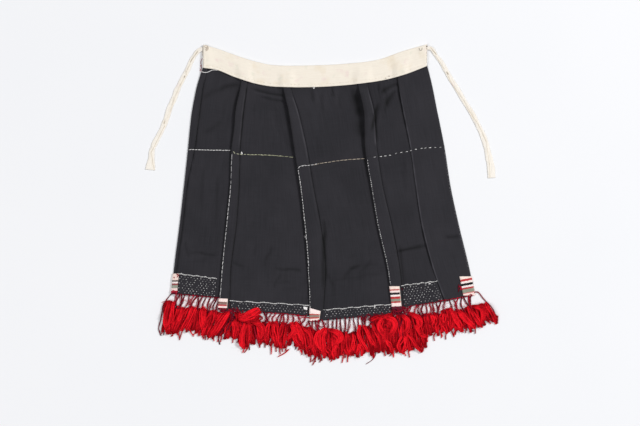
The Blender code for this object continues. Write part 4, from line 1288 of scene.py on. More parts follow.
def reach_along(places):
    """How far each of a row of places lies from the first, along the row."""
    return np.concatenate([[0.0], np.cumsum(np.hypot(*np.diff(places, axis=0).T))])


def running_stitches(tree, line, seed, sway=0.3):
    """Paths and tones of stitches along a line of places on the cloth."""
    rng = np.random.default_rng(seed)
    places = np.array(line.points, float)
    reach = reach_along(places)
    at = rng.uniform(0, line.gap)
    paths, tones = [], []
    while at + line.length * 0.6 < reach[-1]:
        own = line.length * rng.uniform(0.7, 1.25)
        spots = at + own * np.array([0, 0.14, 0.5, 0.86, 1])
        x, y = (np.interp(spots, reach, places[:, axis]) for axis in (0, 1))
        run_x, run_y = x[-1] - x[0] + 1e-6, y[-1] - y[0]
        length = math.hypot(run_x, run_y)
        aside = rng.normal(0, sway) * np.linspace(-1, 1, 5) + rng.normal(0, sway * 0.5)
        x, y = x - aside * run_y / length, y + aside * run_x / length
        raised = np.array([drop(tree, *place) for place in zip(x, y)])
        raised = np.maximum(raised, raised.max() - 0.8) + line.thickness * STITCH_ARCH
        paths.append(np.stack([x, y, raised], axis=1))
        tones.append(rng.uniform(line.least_tone, line.most_tone))
        at += own + line.gap * rng.uniform(0.5, 1.6)
    return paths, tones


def sew(name, material, tree, lines, seed):
    """One piece that holds every stitch of some lines."""
    paths, thickness, tones = [], [], []
    for number, line in enumerate(lines):
        own_paths, own_tones = running_stitches(tree, line, seed + number)
        paths += own_paths
        tones += own_tones
        thickness += [line.thickness * STITCH_TAPER] * len(own_paths)
    piece = strands(name, paths, thickness, tones)
    dress(piece, material, "cream_cotton")
    return piece


def down_line(line, highest, lowest, nudge):
    """Places down one of the apron's lines."""
    return tuple((line_x(line, y) + nudge, y) for y in np.linspace(highest, lowest, 24))


def chain_line(tree, points, seed):
    """Closed links of chain stitch along a line, each caught in the end of the one before."""
    rng = np.random.default_rng(seed)
    places = np.array(points, float)
    reach = reach_along(places)
    angles = np.linspace(0, 2 * np.pi, 12, endpoint=False)
    paths = []
    for at in np.arange(CHAIN_LINK / 2, reach[-1], CHAIN_LINK * 0.82):
        x, y = (np.interp(at, reach, places[:, axis]) for axis in (0, 1))
        ahead_x, ahead_y = (np.interp(at + 1, reach, places[:, axis]) for axis in (0, 1))
        slope = math.atan2(ahead_y - y, ahead_x - x) + rng.normal(0, 0.07)
        along = np.cos(angles) * CHAIN_LINK * rng.uniform(0.5, 0.58)
        across = np.sin(angles) * rng.uniform(0.36, 0.55) + rng.normal(0, 0.2)
        link_x = x + along * math.cos(slope) - across * math.sin(slope)
        link_y = y + along * math.sin(slope) + across * math.cos(slope)
        height = drop(tree, x, y) + 0.25 + 0.3 * np.cos(angles)
        paths.append(np.stack([link_x, link_y, height], axis=1))
    return paths


white_thread = yarn("white_cotton_thread", "#6E6B70", "#F4F2F0", 0.75, 0.1, 2.0, 0.08)
olive_thread = yarn("olive_cotton_thread", "#4E4D33", "#C9C9AE", 0.75, 0.1, 2.0, 0.08)
tan_thread = yarn("tan_cotton_thread", "#5E5144", "#CFC2B2", 0.75, 0.1, 2.0, 0.08)
sewn_tree = surface_tree(upper_cloth, lower_cloth, *hem_bands, *tab_pieces)

SEAM_LINES = [StitchLine(*row) for row in (
    (((-231, 93.2), (-210, 92.8), (-190, 92.2), (-158, 91.8)), 5.2, 0.4, SEAM_THREAD, 0.62, 0.95),
    (((-40.5, 60), (-38.5, 63.2), (-31.7, 65.2), (-20.7, 65.8), (-8, 68)), 4.6, 1.1, SEAM_THREAD, 0.5, 0.9),
    (((86, 79.3), (104.4, 81.3), (119, 83), (134.7, 87.9), (150.3, 90), (161.8, 93.4), (176.4, 95.5),
     (197.3, 96.9), (214.2, 96.9)), 3.6, 4.6, SEAM_THREAD, 0.25, 0.85),
)]
OLIVE_LINES = [StitchLine(*row) for row in (
    (((-154.5, 90.5), (-150.5, 86), (-138.5, 84.9), (-94, 83.9), (-70, 82)),
     4.4, 1.8, SEAM_THREAD, 0.5, 1.0),
    (((-128, 84.2), (-94, 83.4), (-70, 81.6), (-46.3, 79.3)), 7.0, 0.5, SEAM_THREAD, 0.0, 0.55),
)]
TAN_LINES = [StitchLine(*row) for row in (
    (((-14, 66.6), (5, 70.3), (26, 73.4), (49.4, 75.9), (78.6, 77.8)), 6.2, 0.6, SEAM_THREAD, 0.15, 0.85),
)]
FOLD_LINES = [StitchLine(*row) for row in (
    (down_line("fold_1", 86, 40, 0.9), 9.0, 0.7, FINE_THREAD, 0.1, 0.6),
    (down_line("fold_1", 40, -166, 0.9), 6.6, 0.9, FINE_THREAD * 1.1, 0.2, 0.95),
    (down_line("fold_2", 58, -110, 0.6), 3.6, 1.3, FINE_THREAD * 1.2, 0.3, 1.0),
    (down_line("fold_2", -111, -188, -0.5), 3.4, 1.1, FINE_THREAD * 1.25, 0.4, 1.0),
    (down_line("fold_3", 76, -142, 0.9), 2.1, 1.7, FINE_THREAD * 1.05, 0.1, 0.95),
    (down_line("right_edge", 92, -118, -1.5), 1.8, 3.0, FINE_THREAD * 0.55, 0.0, 0.4),
)]
sew("seam_stitches_white", white_thread, sewn_tree, SEAM_LINES, 11)
sew("seam_stitches_olive", olive_thread, sewn_tree, OLIVE_LINES, 21)
sew("seam_stitches_tan", tan_thread, sewn_tree, TAN_LINES, 31)
sew("fold_stitches_white", white_thread, sewn_tree, FOLD_LINES, 41)

chains = []
for number, band in enumerate(HEM_BANDS):
    edge = [hem_band_place(band, across, -0.01) for across in np.linspace(-0.01, 1.01, 24)]
    sway = 0.6 * np.sin(np.arange(24) * 1.3 + number)
    chains += chain_line(sewn_tree, [(x, y + rise) for (x, y), rise in zip(edge, sway)], 60 + number)
chain_tones = list(np.random.default_rng(7).uniform(0.7, 1.0, len(chains)))
chain_stitches = strands("hem_chain_stitches", chains, [0.62] * len(chains), chain_tones, 5, len(chains))
dress(chain_stitches, white_thread, "cream_cotton")


def lattice_stitches(tree, band, seed):
    """Short single stitches all over a hem band, in staggered rows, some worn thin and some sunk."""
    rng = np.random.default_rng(seed)
    paths, thickness, tones = [], [], []
    wide = hem_band_place(band, 1, 0.5)[0] - hem_band_place(band, 0, 0.5)[0]
    deep = (band.left_depth + band.right_depth) / 2
    for row in range(1, round(deep / DOT_PITCH[1])):
        down = row * DOT_PITCH[1] / deep
        for column in range(round(wide / DOT_PITCH[0]) + 1):
            across = (column + 0.35 + 0.5 * (row % 2)) * DOT_PITCH[0] / wide
            if across > 0.985 or rng.random() < 0.1:
                continue
            x, y = hem_band_place(band, across, down)
            x, y = x + rng.normal(0, 0.45), y + rng.normal(0, 0.35)
            turn = rng.normal(0.5, 0.5)
            half = rng.uniform(0.5, 0.95)
            shares = np.array([-1, -0.75, 0, 0.75, 1])
            width = rng.uniform(0.7, 1.12)
            rise = width * np.array([-0.45, 0.2, 0.4, 0.2, -0.45])
            run_x, run_y = shares * half * math.cos(turn), shares * half * math.sin(turn)
            path = np.stack([x + run_x, y + run_y, rise], axis=1)
            path[:, 2] += drop(tree, x, y)
            paths.append(path)
            thickness.append(width * np.array([0.5, 0.9, 1.1, 0.9, 0.5]))
            tones.append(rng.uniform(0.0, 0.9))
    return paths, thickness, tones


dots = [lattice_stitches(sewn_tree, band, 80 + number) for number, band in enumerate(HEM_BANDS)]
dot_stitches = strands("hem_dot_stitches", *(sum((dot[part] for dot in dots), []) for part in range(3)))
dress(dot_stitches, white_thread, "cream_cotton")


class LooseThread(NamedTuple):
    """A thread end or knot on the cloth: its places, its thickness and tone, and how high it lies."""

    points: tuple
    thickness: float
    tone: float
    lift: float = 0.4


def laid_thread(tree, points, lift, count=24):
    """A smooth path through places on the cloth, lying just above it."""
    places = np.array(points, float)
    reach = reach_along(places)
    path = np.empty((count, 3))
    for row, at in enumerate(np.linspace(0, reach[-1], count)):
        path[row, :2] = [smooth(at, list(zip(reach, places[:, axis]))) for axis in (0, 1)]
        path[row, 2] = drop(tree, *path[row, :2])
    level = np.convolve(np.pad(path[:, 2], 2, "edge"), np.ones(5) / 5, "valid")
    path[:, 2] = np.maximum(path[:, 2], level) + lift
    return path


WHITE_ENDS = [LooseThread(*row) for row in (
    (((-211.6, 231), (-206, 227.6), (-200.3, 227.2), (-195, 229), (-189.5, 231.4), (-180.6, 231.2)),
     1.1, 0.95),
    (((-15.2, 202.6), (-13.6, 199.4), (-11.6, 202.4)), 1.2, 0.95),
    (((92.2, -176.6), (92.6, -179), (92.0, -182.6)), 1.5, 1.0, 0.7),
    (((-31.6, -180.2), (-28.4, -180.9), (-25.2, -181.8)), 1.5, 1.0, 0.6),
    (((-31.8, -181.3), (-28.6, -182), (-25.0, -183)), 1.5, 1.0, 0.7),
    (((-31.4, -182.5), (-28.4, -183.2), (-24.8, -184.2)), 1.5, 0.95, 0.7),
    (((-31, -183.7), (-28, -184.4), (-25.2, -185.3)), 1.5, 1.0, 0.6),
    (((-29.4, -57), (-27.6, -58.8), (-28.8, -60.2)), 1.3, 0.8, 0.6),
    (((186, -138), (187.6, -140.4), (189.6, -139)), 1.2, 0.9, 0.6),
    (((-139.8, 85.4), (-139.4, 89), (-137.2, 85.2)), 1.1, 0.95, 0.6),
)]
BROWN_ENDS = [LooseThread(*row) for row in (
    (((169.5, 270), (169.9, 266.6), (171.8, 265.2), (174, 266.4), (174.6, 270)), 0.7, 0.35),
    (((182.2, 273.6), (183.6, 272.4), (182.4, 271.6), (183.4, 274)), 1.0, 0.1),
    (((110.4, 217.4), (112.6, 216.8)), 0.8, 0.35), (((116, 220.9), (118.4, 220.3)), 0.8, 0.35),
    (((-206.6, 272), (-206, 269.6), (-206.6, 267.6)), 1.0, 0.7),
    (((-206.6, 266), (-207, 261), (-207.6, 256.6)), 0.7, 0.95),
    (((-204.4, 272.4), (-200.4, 274), (-197.4, 271.4), (-197.6, 267), (-201, 264.6)), 1.6, 1.0, 0.2),
    (((-203, 270.4), (-200.4, 271), (-199.6, 268), (-202, 266.8)), 1.6, 0.95, 0.2),
)]
cloths = (upper_cloth, lower_cloth, waistband, left_tie, right_tie)
dressed_tree = surface_tree(*cloths, *hem_bands, *tab_pieces)
for name, threads, thread_material in (
    ("white_thread_ends", WHITE_ENDS, white_thread),
    ("brown_thread_ends", BROWN_ENDS, tan_thread),
):
    paths = [laid_thread(dressed_tree, thread.points, thread.lift) for thread in threads]
    taper = np.array([0.5, *[1.0] * 22, 0.5])
    widths = [thread.thickness * taper for thread in threads]
    ends = strands(name, paths, widths, [thread.tone for thread in threads])
    dress(ends, thread_material, "cream_cotton")

cream_thread = yarn("cream_cotton_thread", "#A99C86", "#F2EBDD", 0.8, 0.1, 2.0, 0.08)
band_edge = tuple((x, band_bottom(x) + BAND_TURN_IN + 0.4) for x in np.linspace(-203, 181, 40))
BAND_LINES = [StitchLine(*row) for row in (
    (band_edge, 3.4, 2.0, 0.5, 0.6, 1.0),
    (tuple((-204.6, y) for y in np.linspace(270, 238, 6)), 3.0, 2.6, 0.6, 0.3, 0.9),
    (tuple((182.4, y) for y in np.linspace(270, 242, 6)), 3.0, 2.6, 0.6, 0.3, 0.9),
)]
sew("waistband_stitches", cream_thread, dressed_tree, BAND_LINES, 51)

# The net: hard-twisted cotton strings, plum and crimson, hitched over the hem of each panel one by one.
# They hang in soft arcs, some crossing, and end in the red wool; longer cords run down both sides of the
# fringe.

STRING_THICKNESS = 1.7
HITCH = 2.2  # how far a string's hitch reaches up the cloth from the hem
STRING_FLOOR = 0.88  # lowest height of a string's middle
NET_STRINGS = (  # for each panel: where its strings lie at the hem, half way down and in the wool
    ((-252.5, -254, -256.8), (-248.3, -253.3, -250.7), (-244.1, -244.6, -249), (-238.6, -242.9, -248.1),
     (-230.7, -233, -239.4), (-223.8, -228.1, -229.9), (-217.7, -225.5, -228.1), (-214.2, -215, -216.8),
     (-207.2, -213.3, -215.1), (-201.1, -207.1, -209), (-193.3, -197.7, -198.5), (-186.4, -193.1, -195.9),
     (-182, -188.1, -189), (-178.5, -182, -184.6)),
    ((-161.1, -159.4, -162), (-152.4, -150.7, -149.8), (-147.2, -148.9, -145.5), (-136.8, -135, -138.5),
     (-115.9, -112.4, -114.1), (-100.2, -96.2, -99.4), (-95.4, -97.1, -98.5), (-88.9, -93.3, -91.5),
     (-80.2, -85.6, -79.3), (-72.4, -76.6, -73.6), (-68.9, -71, -74.1), (-65.4, -66.3, -64.9),
     (-59.3, -59, -63.3), (-49.8, -49.1, -55.9), (-41.1, -37.6, -32.4), (-26.3, -30.6, -37.6)),
    ((-22.8, -25.8, -29.8), (-22.8, -19.8, -17.6), (-15.8, -15.7, -16.7), (-10.6, -8.9, -7.1),
     (-4.5, -6.3, 0.7), (-0.2, 5, 10.3), (-5.4, -7.1, -8.9), (12, 11.3, 10.3), (19.8, 19.1, 22.4),
     (25.9, 25.9, 28.5), (32.9, 33.9, 36), (40.7, 41.4, 39.5), (48.2, 47.2, 44.2), (54.6, 58.1, 58.6),
     (62.5, 63.5, 63), (68.6, 70.6, 71.7), (77.3, 74.6, 77.3), (85.1, 86, 80.7), (98.1, 90.5, 91.2),
     (108.6, 105.1, 106.8)),
    ((142.5, 144.2, 139.9), (155.6, 152.9, 147.7), (164.3, 161.8, 161.6), (169.5, 168.1, 173.8),
     (175.6, 173.8, 178.2), (180.8, 183.4, 180.8), (187.7, 190.9, 187.7), (193, 195.1, 193),
     (198.2, 201.7, 199.1)),
    ((206, 203.1, 202.5), (214.7, 212.1, 213.8), (221.7, 226.4, 227.8), (229.5, 233.9, 231.2),
     (235.6, 232.6, 239.1), (243.4, 241.9, 248.6), (248.6, 252.6, 260), (255.6, 256.5, 260.8),
     (260, 259.1, 259.6)),
)
FIRST_HEAD = -268.0
TASSEL_PITCH = 549 / 27
# For each tassel from the left: top of the wool, how far its foot lies aside, and its lowest loops.
TASSELS = (
    (-168.4, 0, -227.6), (-178.9, -9, -224.1), (-178.9, -10, -222.4), (-182.4, -6, -224.1),
    (-185.8, -12, -231.1), (-188.4, -18, -234.6), (-199.6, -4, -238), (-202.4, -4, -250), (-205.5, 2, -245),
    (-205.8, 2, -250.2), (-207.2, 0, -252), (-205.8, 8, -252), (-213.7, 10, -267.6), (-220.6, 2, -269.4),
    (-218.9, 3, -270.2), (-223.2, 2, -266.7), (-222.4, 3, -265.9), (-211.9, 8, -264.1), (-201, 6, -256.3),
    (-193, 4, -261.5), (-191.9, 10, -259.8), (-189.3, 10, -253.7), (-191.1, 3, -231.1), (-191.1, 6, -229.3),
    (-182.4, 10, -225.9), (-184.1, 10, -221.5), (-177.1, 10, -217.2), (-173.7, 14, -206.7),
)
HEM_THREADS = ((-256, -180, 0.5), (-95, -38, 0.85), (76, 112, 0.2), (150, 206, 0.6), (203, 262, 0.9))

PLUM_CORDS = (  # the panel each belongs to, its places with heights, its thickness and its tone
    (1, ((-259.4, -155.4, 2.2), (-263.8, -160.6, 1.0), (-268.1, -165.8, 1.0), (-272.5, -171.9, 1.6),
     (-276, -178.9, 2.0), (-277.7, -189.3, 2.0), (-280.3, -203.2, 1.6), (-283.4, -217.2, 0.9),
     (-280.8, -227.6, 0.9), (-278.9, -230.7, 0.9)), 1.7, 0.2),
    (1, ((-277.7, -172.8, 0.8), (-275, -171.4, 0.8), (-272.5, -171, 0.8)), 1.0, 0.9),
    (1, ((-273.6, -222, 0.9), (-274.6, -227, 0.9), (-275.4, -229.6, 0.9)), 1.4, 0.1),
    (5, ((263.4, -158, 2.2), (266.9, -154.5, 2.0), (271.3, -154.5, 1.0), (274.7, -157.1, 0.9),
     (279.1, -163.2, 0.9), (285.2, -170.2, 1.0), (293.9, -178.9, 2.2), (299.1, -186.7, 2.0),
     (302.2, -194.5, 1.6), (304.8, -203.2, 1.0), (306.4, -209.3, 0.9)), 1.9, 0.45),
    (5, ((285.2, -200, 1.8), (287.4, -204.6, 1.2), (290.4, -207.6, 1.0)), 1.5, 0.5),
    (3, ((-5.4, -204.1, 1.0), (-6.3, -208.5, 1.0), (-4.9, -212.8, 1.0), (-1, -215.4, 1.0),
     (4.2, -213.7, 1.0), (6.8, -210.7, 1.6), (3.3, -206.7, 1.8), (-0.2, -204.1, 1.8)), 1.5, 0.3),
    (3, ((75.5, -205, 2.6), (73.8, -198.9, 1.2), (77.3, -194.5, 2.4), (82.5, -193.7, 2.4),
     (85.1, -198, 1.2), (79, -203.2, 2.4)), 1.7, 0.15),
    (3, ((88, -203, 2.4), (88.4, -197, 1.4), (91.2, -194.5, 2.6), (96.4, -192.8, 2.6), (99, -196.3, 1.4),
     (99, -203.2, 2.4)), 1.8, 0.1),
    (4, ((141.6, -179.7, 2.4), (146.9, -183.2, 1.2), (152.1, -182.4, 1.2), (155.6, -179.7, 2.4)), 1.4, 0.3),
    (2, ((-46, -196.3, 2.2), (-39, -195.6, 1.4), (-33, -196.6, 1.4), (-28, -195.9, 1.8)), 1.5, 0.95),
    (2, ((-39, -200.4, 1.2), (-31, -199, 1.0), (-21, -199.2, 1.8), (-14, -197.4, 1.4)), 1.6, 0.9),
    (2, ((-154.5, -182, 3.0), (-149.4, -186.4, 3.2), (-147.6, -192, 2.6), (-150, -200, 3.2)), 2.0, 0.2),
    (2, ((-148.4, -181, 3.0), (-144, -187, 3.2), (-143.6, -193, 2.6), (-146.2, -199, 3.2)), 2.0, 0.35),
    (2, ((-157, -183, 2.6), (-154.8, -189, 2.6), (-155.6, -196, 2.6), (-160, -202, 3.4)), 2.0, 0.15),
    (4, ((122, -177, 3.4), (126, -183, 3.4), (124, -189, 3.4), (128, -194, 3.4)), 1.9, 0.4),
    (4, ((125, -178, 4.0), (131, -181, 4.2), (132, -187, 3.8), (127, -191, 3.8), (126, -195, 3.4)),
     1.9, 0.25),
    (4, ((131, -176, 3.6), (134.5, -182, 3.8), (132.6, -188, 3.6), (136, -194, 3.4)), 1.9, 0.4),
    (4, ((137, -177, 3.2), (139.6, -182, 3.0), (137, -188, 3.2), (140, -194, 3.4)), 1.9, 0.2),
    (4, ((142, -180, 2.4), (140.4, -186, 2.2), (143.4, -191, 2.6), (143.6, -196, 3.2)), 1.8, 0.35),
    (4, ((121, -179, 3.0), (127.6, -180.6, 3.4), (134, -178.6, 3.6), (141, -181, 3.0)), 2.4, 0.15),
    (4, ((122, -184, 3.0), (129, -183, 3.6), (135, -186, 3.8), (143, -184.6, 3.0)), 2.4, 0.3),
    (4, ((124, -187.6, 3.4), (131, -189, 3.8), (138, -187, 4.0), (144, -188, 3.2)), 2.2, 0.1),
    (4, ((123, -192, 3.4), (130, -192.6, 3.8), (137, -193.4, 3.8), (145, -191.4, 3.2)), 2.2, 0.2),
    (4, ((126, -186.4, 4.2), (133, -189, 4.8), (140, -186, 4.4)), 2.2, 0.45),
    (2, ((-178, -183.4, 1.2), (-171, -186.6, 1.8), (-164, -184, 2.2), (-156, -187.4, 2.4)), 2.2, 0.6),
    (2, ((-176, -187.4, 1.2), (-168, -188.6, 2.2), (-161, -187, 2.6), (-153, -190.6, 3.0)), 2.2, 0.35),
    (2, ((-141, -190, 2.6), (-137, -198, 2.4), (-138.4, -207, 3.0)), 2.0, 0.2),
    (2, ((-159, -187, 2.6), (-157.6, -193, 2.4), (-153, -198, 2.4), (-154, -205, 3.2)), 2.0, 0.05),
    (2, ((-153, -188, 2.4), (-151, -195, 2.2), (-156.4, -200, 2.4), (-157, -206, 3.2)), 1.9, 0.3),
    (2, ((-162, -190, 2.4), (-158, -196.6, 2.2), (-151, -200.4, 2.6), (-148, -206, 3.2)), 1.9, 0.15),
    (4, ((144.6, -181, 2.2), (147.6, -186, 1.2), (145, -191, 1.8), (146.6, -196, 3.2)), 1.7, 0.4),
    (4, ((148.8, -180, 2.2), (149, -185.6, 1.2), (151.6, -190, 1.8), (150, -195, 3.2)), 1.6, 0.2),
    (4, ((153, -179.4, 2.2), (150.4, -185, 1.2), (148.2, -190, 1.8), (153, -195, 3.2)), 1.6, 0.6),
    (2, ((-131, -187, 1.4), (-128, -196, 1.8), (-122, -204, 3.0)), 2.0, 0.3),
    (2, ((-124, -187, 1.4), (-123.6, -196, 1.8), (-117, -206, 3.0)), 2.0, 0.2),
    (2, ((-118, -187, 1.4), (-116, -197, 2.0), (-109, -208, 3.4)), 2.2, 0.4),
    (2, ((-160, -199.9, 5.6), (-166.3, -211.9, 6.0), (-173.3, -222.4, 5.2), (-179.4, -230.2, 3.6),
     (-178.9, -239.8, 1.2), (-176.8, -245.9, 0.9)), 1.8, 0.0),
    (2, ((-155, -202, 5.6), (-160.4, -212, 6.2), (-166, -224, 5.4), (-171, -236, 3.4)), 2.0, 0.15),
    (2, ((-138, -206, 5.8), (-136.5, -218, 5.6), (-131.5, -231, 4.2), (-126.4, -248, 1.6),
     (-125.5, -255.4, 1.0)), 1.7, 0.1),
    (2, ((-117, -214, 5.4), (-114.8, -227.6, 5.0), (-111, -241, 3.0), (-107.2, -251.4, 1.1)), 1.9, 0.7),
    (3, ((70, -193, 2.4), (74, -198, 2.2), (72, -204, 2.6), (76, -209, 3.4)), 1.9, 0.1),
    (3, ((80, -192, 2.4), (86, -197, 2.6), (84, -203, 2.6), (89, -208, 3.6)), 2.0, 0.25),
    (3, ((90, -191, 2.4), (94, -196, 2.8), (100, -200, 2.8), (102, -206, 3.6)), 2.0, 0.1),
    (3, ((64, -195, 2.4), (70, -199.5, 2.6), (78, -199, 2.8), (86, -202.5, 2.8), (95, -201, 3.0)),
     1.8, 0.2),
    (3, ((104, -190, 2.4), (108, -196, 3.0), (105, -202, 3.2), (110, -207, 3.8)), 2.0, 0.3),
    (3, ((92.9, -255.4, 1.6), (93.8, -264.1, 0.9), (87.7, -272.8, 0.9), (77.3, -279.8, 0.9)), 1.1, 0.2),
    (3, ((-15, -250, 3.4), (-13.2, -258.9, 2.2), (-12, -268, 1.2), (-10.6, -276.3, 0.9)), 1.7, 0.35),
    (3, ((-6.6, -250, 3.2), (-5.4, -258.9, 2.0), (-3.7, -271.1, 0.9)), 1.7, 0.15),
    (3, ((39, -255, 3.0), (40, -262, 1.6), (41, -269.4, 0.9)), 1.5, 0.3),
    (5, ((250, -212, 4.0), (254.7, -217.2, 2.8), (264.1, -222.9, 0.9)), 1.8, 0.15),
    (2, ((-44, -240, 3.8), (-44.5, -247, 2.2), (-45.2, -254.6, 0.9)), 1.8, 0.1),
    (4, ((131.6, -199.8, 5.6), (134.4, -210, 5.8), (132.6, -222, 5.2), (134, -232, 3.6)), 2.0, 0.5),
    (4, ((140, -203, 5.6), (137.2, -213, 6.0), (141.4, -226, 5.0), (139.4, -236, 3.4)), 2.0, 0.3),
)


def fringe_head(x):
    """Height on the table at which the wool begins, read along the row of tassels."""
    return smooth(min(max(x, heads[0][0]), heads[-1][0]), heads)


def net_string(panel, tops, rng):
    """One string: hitched over the hem, bent through its middle and lost in the wool."""
    left, right = hem_point(panel, panel.starts, 1), hem_point(panel, panel.ends, 1)
    hem = left[1] + (tops[0] - left[0]) * (right[1] - left[1]) / (right[0] - left[0])
    end = fringe_head(tops[2]) - rng.uniform(5, 8)
    on_cloth = drop(sewn_tree, tops[0], hem + HITCH) + 0.75
    at_edge = drop(sewn_tree, tops[0], hem + 0.7) + 0.7
    shares = np.concatenate([[0, 0.02, 0.05, 0.1, 0.16], np.linspace(0.23, 1, 16)])
    x_knots = ((0, tops[0]), (0.12, tops[0] + rng.normal(0, 0.5)), (0.55, tops[1]), (1, tops[2]))
    y_knots = ((0, hem + HITCH), (0.06, hem + 0.7), (0.13, hem - 0.8), (0.55, mix(hem, end, 0.5)), (1, end))
    z_knots = (
        (0, on_cloth - 0.9), (0.03, on_cloth), (0.08, at_edge), (0.22, 1.0), (0.55, rng.uniform(0.9, 1.3)),
        (0.8, 2.2), (1, 3.6),
    )
    curves = [[smooth(share, knots) for share in shares] for knots in (x_knots, y_knots)]
    height = [max(straight(share, z_knots), STRING_FLOOR) for share in shares]
    return np.stack([*curves, height], axis=1)


def waver(rng, t, reach, least, most):
    """A wave of some length and start along a strand, that is still at both its ends."""
    return reach * np.sin(t * rng.uniform(least, most) + rng.uniform(0, 6)) * np.sin(np.pi * t)


def loose_ply(path, rng):
    """A thin thread that has come out of a string's twist and runs beside it."""
    t = np.linspace(0, 1, len(path))
    aside = rng.uniform(1.2, 2.6) * rng.choice((-1, 1)) * np.sin(np.pi * t ** rng.uniform(0.6, 1.4))
    aside += waver(rng, t, 0.4, 8, 14)
    beside = path + np.column_stack([aside, np.zeros(len(t)), np.zeros(len(t))])
    beside[:, 2] = np.maximum(path[:, 2] - 0.45 * np.sin(np.pi * t), 0.45)
    return beside


def cord_path(points, count=28):
    """A smooth path through places that each have their own height."""
    places = np.array(points, float)
    reach = [0.0, *np.cumsum(np.linalg.norm(np.diff(places, axis=0), axis=1))]
    knots = [list(zip(reach, places[:, axis])) for axis in range(3)]
    path = [[smooth(at, knots[axis]) for axis in range(3)] for at in np.linspace(0, reach[-1], count)]
    return np.maximum(path, (-1e3, -1e3, STRING_FLOOR))


plum_string = yarn("plum_cotton_string", "#4C0A1C", "#B4142E", 0.8, 0.1, 3.4, 0.18, "#B04050")
heads = [(FIRST_HEAD + row * TASSEL_PITCH, tassel[0]) for row, tassel in enumerate(TASSELS)]
for number, (panel, strings, edge_thread) in enumerate(zip(PANELS, NET_STRINGS, HEM_THREADS), 1):
    rng = np.random.default_rng(200 + number)
    paths = [net_string(panel, tops, rng) for tops in strings]
    thickness = [STRING_THICKNESS * rng.uniform(0.85, 1.15) for path in paths]
    tones = [rng.uniform(0.0, 1.0) ** 1.6 for path in paths]
    for path in paths[:]:
        for _ in range(2):
            paths.append(loose_ply(path, rng))
            thickness.append(0.5)
            tones.append(rng.uniform(0.7, 1.0))
    left, right = hem_point(panel, panel.starts, 1), hem_point(panel, panel.ends, 1)
    across = np.arange(edge_thread[0], edge_thread[1], 1.6)
    hem_heights = np.interp(across, (left[0], right[0]), (left[1], right[1]))
    along_hem = hem_heights + 0.9 + 0.5 * np.sin(across / 2.1)
    raised = [drop(sewn_tree, *place) + 0.45 for place in zip(across, along_hem)]
    paths.append(np.stack([across, along_hem, raised], axis=1))
    thickness.append(1.0)
    tones.append(edge_thread[2])
    for owner, points, width, tone in PLUM_CORDS:
        if owner == number:
            paths.append(cord_path(points))
            thickness.append(width)
            tones.append(tone)
    net = strands(f"net_strings_{number}", paths, thickness, tones, sides=7, ply=0.16, pitch=3.4)
    dress(net, plum_string, "plum_string", f"net_{number}")

# Plum thread down the end of the waistband and round the feet of the tabs: places, thickness, tone.
MAROON_BITS = (
    (((-207.8, 252), (-209.6, 247.6), (-210.4, 243.6), (-209, 238)), 0.75, 0.6),
    (((-210.6, 240), (-209.4, 234), (-211.6, 230.6), (-207.6, 229)), 1.0, 0.8),
    (((-256.9, -128.6), (-255.4, -130.2)), 1.5, 0.5),
    (((-252, -122.6), (-249.6, -125.4), (-251.2, -128.8)), 1.3, 0.6),
    (((-249.4, -123.4), (-247.4, -127.2)), 1.2, 0.3),
    (((-261, -153.4), (-257.4, -151.8), (-253.6, -153.6), (-250, -152.6)), 1.5, 0.9),
    (((-260, -156), (-256, -155), (-252, -156.6)), 1.6, 0.4),
    (((-178.6, -184.6), (-174.6, -183), (-170, -185), (-165.6, -183.6)), 1.6, 0.5),
    (((-177.6, -187.2), (-172.6, -186), (-167.6, -187.6), (-163.6, -186.4)), 1.7, 0.2),
    (((-178.6, -190), (-173, -188.8), (-167, -190.6), (-161.4, -189.6)), 1.9, 0.1),
    (((-176.4, -192.4), (-170, -191.6), (-164.6, -193), (-160, -192)), 1.9, 0.3),
    (((-22, -204.4), (-17.6, -205.8), (-12.4, -204.6), (-7, -206.2)), 1.6, 0.3),
    (((138.2, -147.8), (140.8, -149.4), (139.6, -151.6)), 1.0, 0.0),
    (((239.2, -144), (241.6, -147.4), (240.6, -151.2)), 1.8, 1.0),
    (((241.6, -144.6), (243.6, -148), (242.6, -151)), 1.8, 0.9),
    (((238.8, -141), (237.4, -146), (238.4, -150.6), (237.6, -154.6)), 1.5, 0.1),
    (((256.8, -160), (258.8, -158.2), (261.4, -159.6), (260.6, -162.6), (257.6, -163)), 1.1, 0.9),
)
maroon_paths = [laid_thread(dressed_tree, points, 0.5) for points, width, tone in MAROON_BITS]
maroon_widths = [width * np.array([0.6, *[1.0] * 22, 0.6]) for points, width, tone in MAROON_BITS]
maroon_tones = [tone for points, width, tone in MAROON_BITS]
maroon_bits = strands("maroon_thread_bits", maroon_paths, maroon_widths, maroon_tones, ply=0.16, pitch=3.4)
dress(maroon_bits, plum_string, "plum_string")

# The red wool: twenty-eight tassels, each a few skeins of soft two-ply yarn looped through the strings.
# A skein is a bunch of long loops one inside the other, round at both ends; some are cut, so loose ends
# hang out below. The wool lies in a pile of three or four yarns and sheds a down of short hairs.

YARN_THICKNESS = 2.9
FINE_YARN = 2.3  # of the skeins that lie uppermost, drawn tighter
YARN_PITCH = 8.0
YARN_FLOOR = 1.55  # lowest height of a looped yarn's middle
HAIR_FLOOR = 0.2
LEG_POINTS = 22
TURN_POINTS = 6
HEAD_SET, FOOT_SET = 2.4, 3.5  # how far inside a tassel's head and foot the middle lines of its loops end
LOWER_SKEINS = (-10.6, -6.4, -2.2, 2.2, 6.4, 10.6)  # places across a tassel, on the board
OVER_SKEINS = (-7.6, -2.6, 2.6, 7.4)  # and over them
HAIRS, NET_HAIRS = 130, 30  # to a tassel, and above each tassel among the strings of the net
HAIR_THICKNESS = 0.34


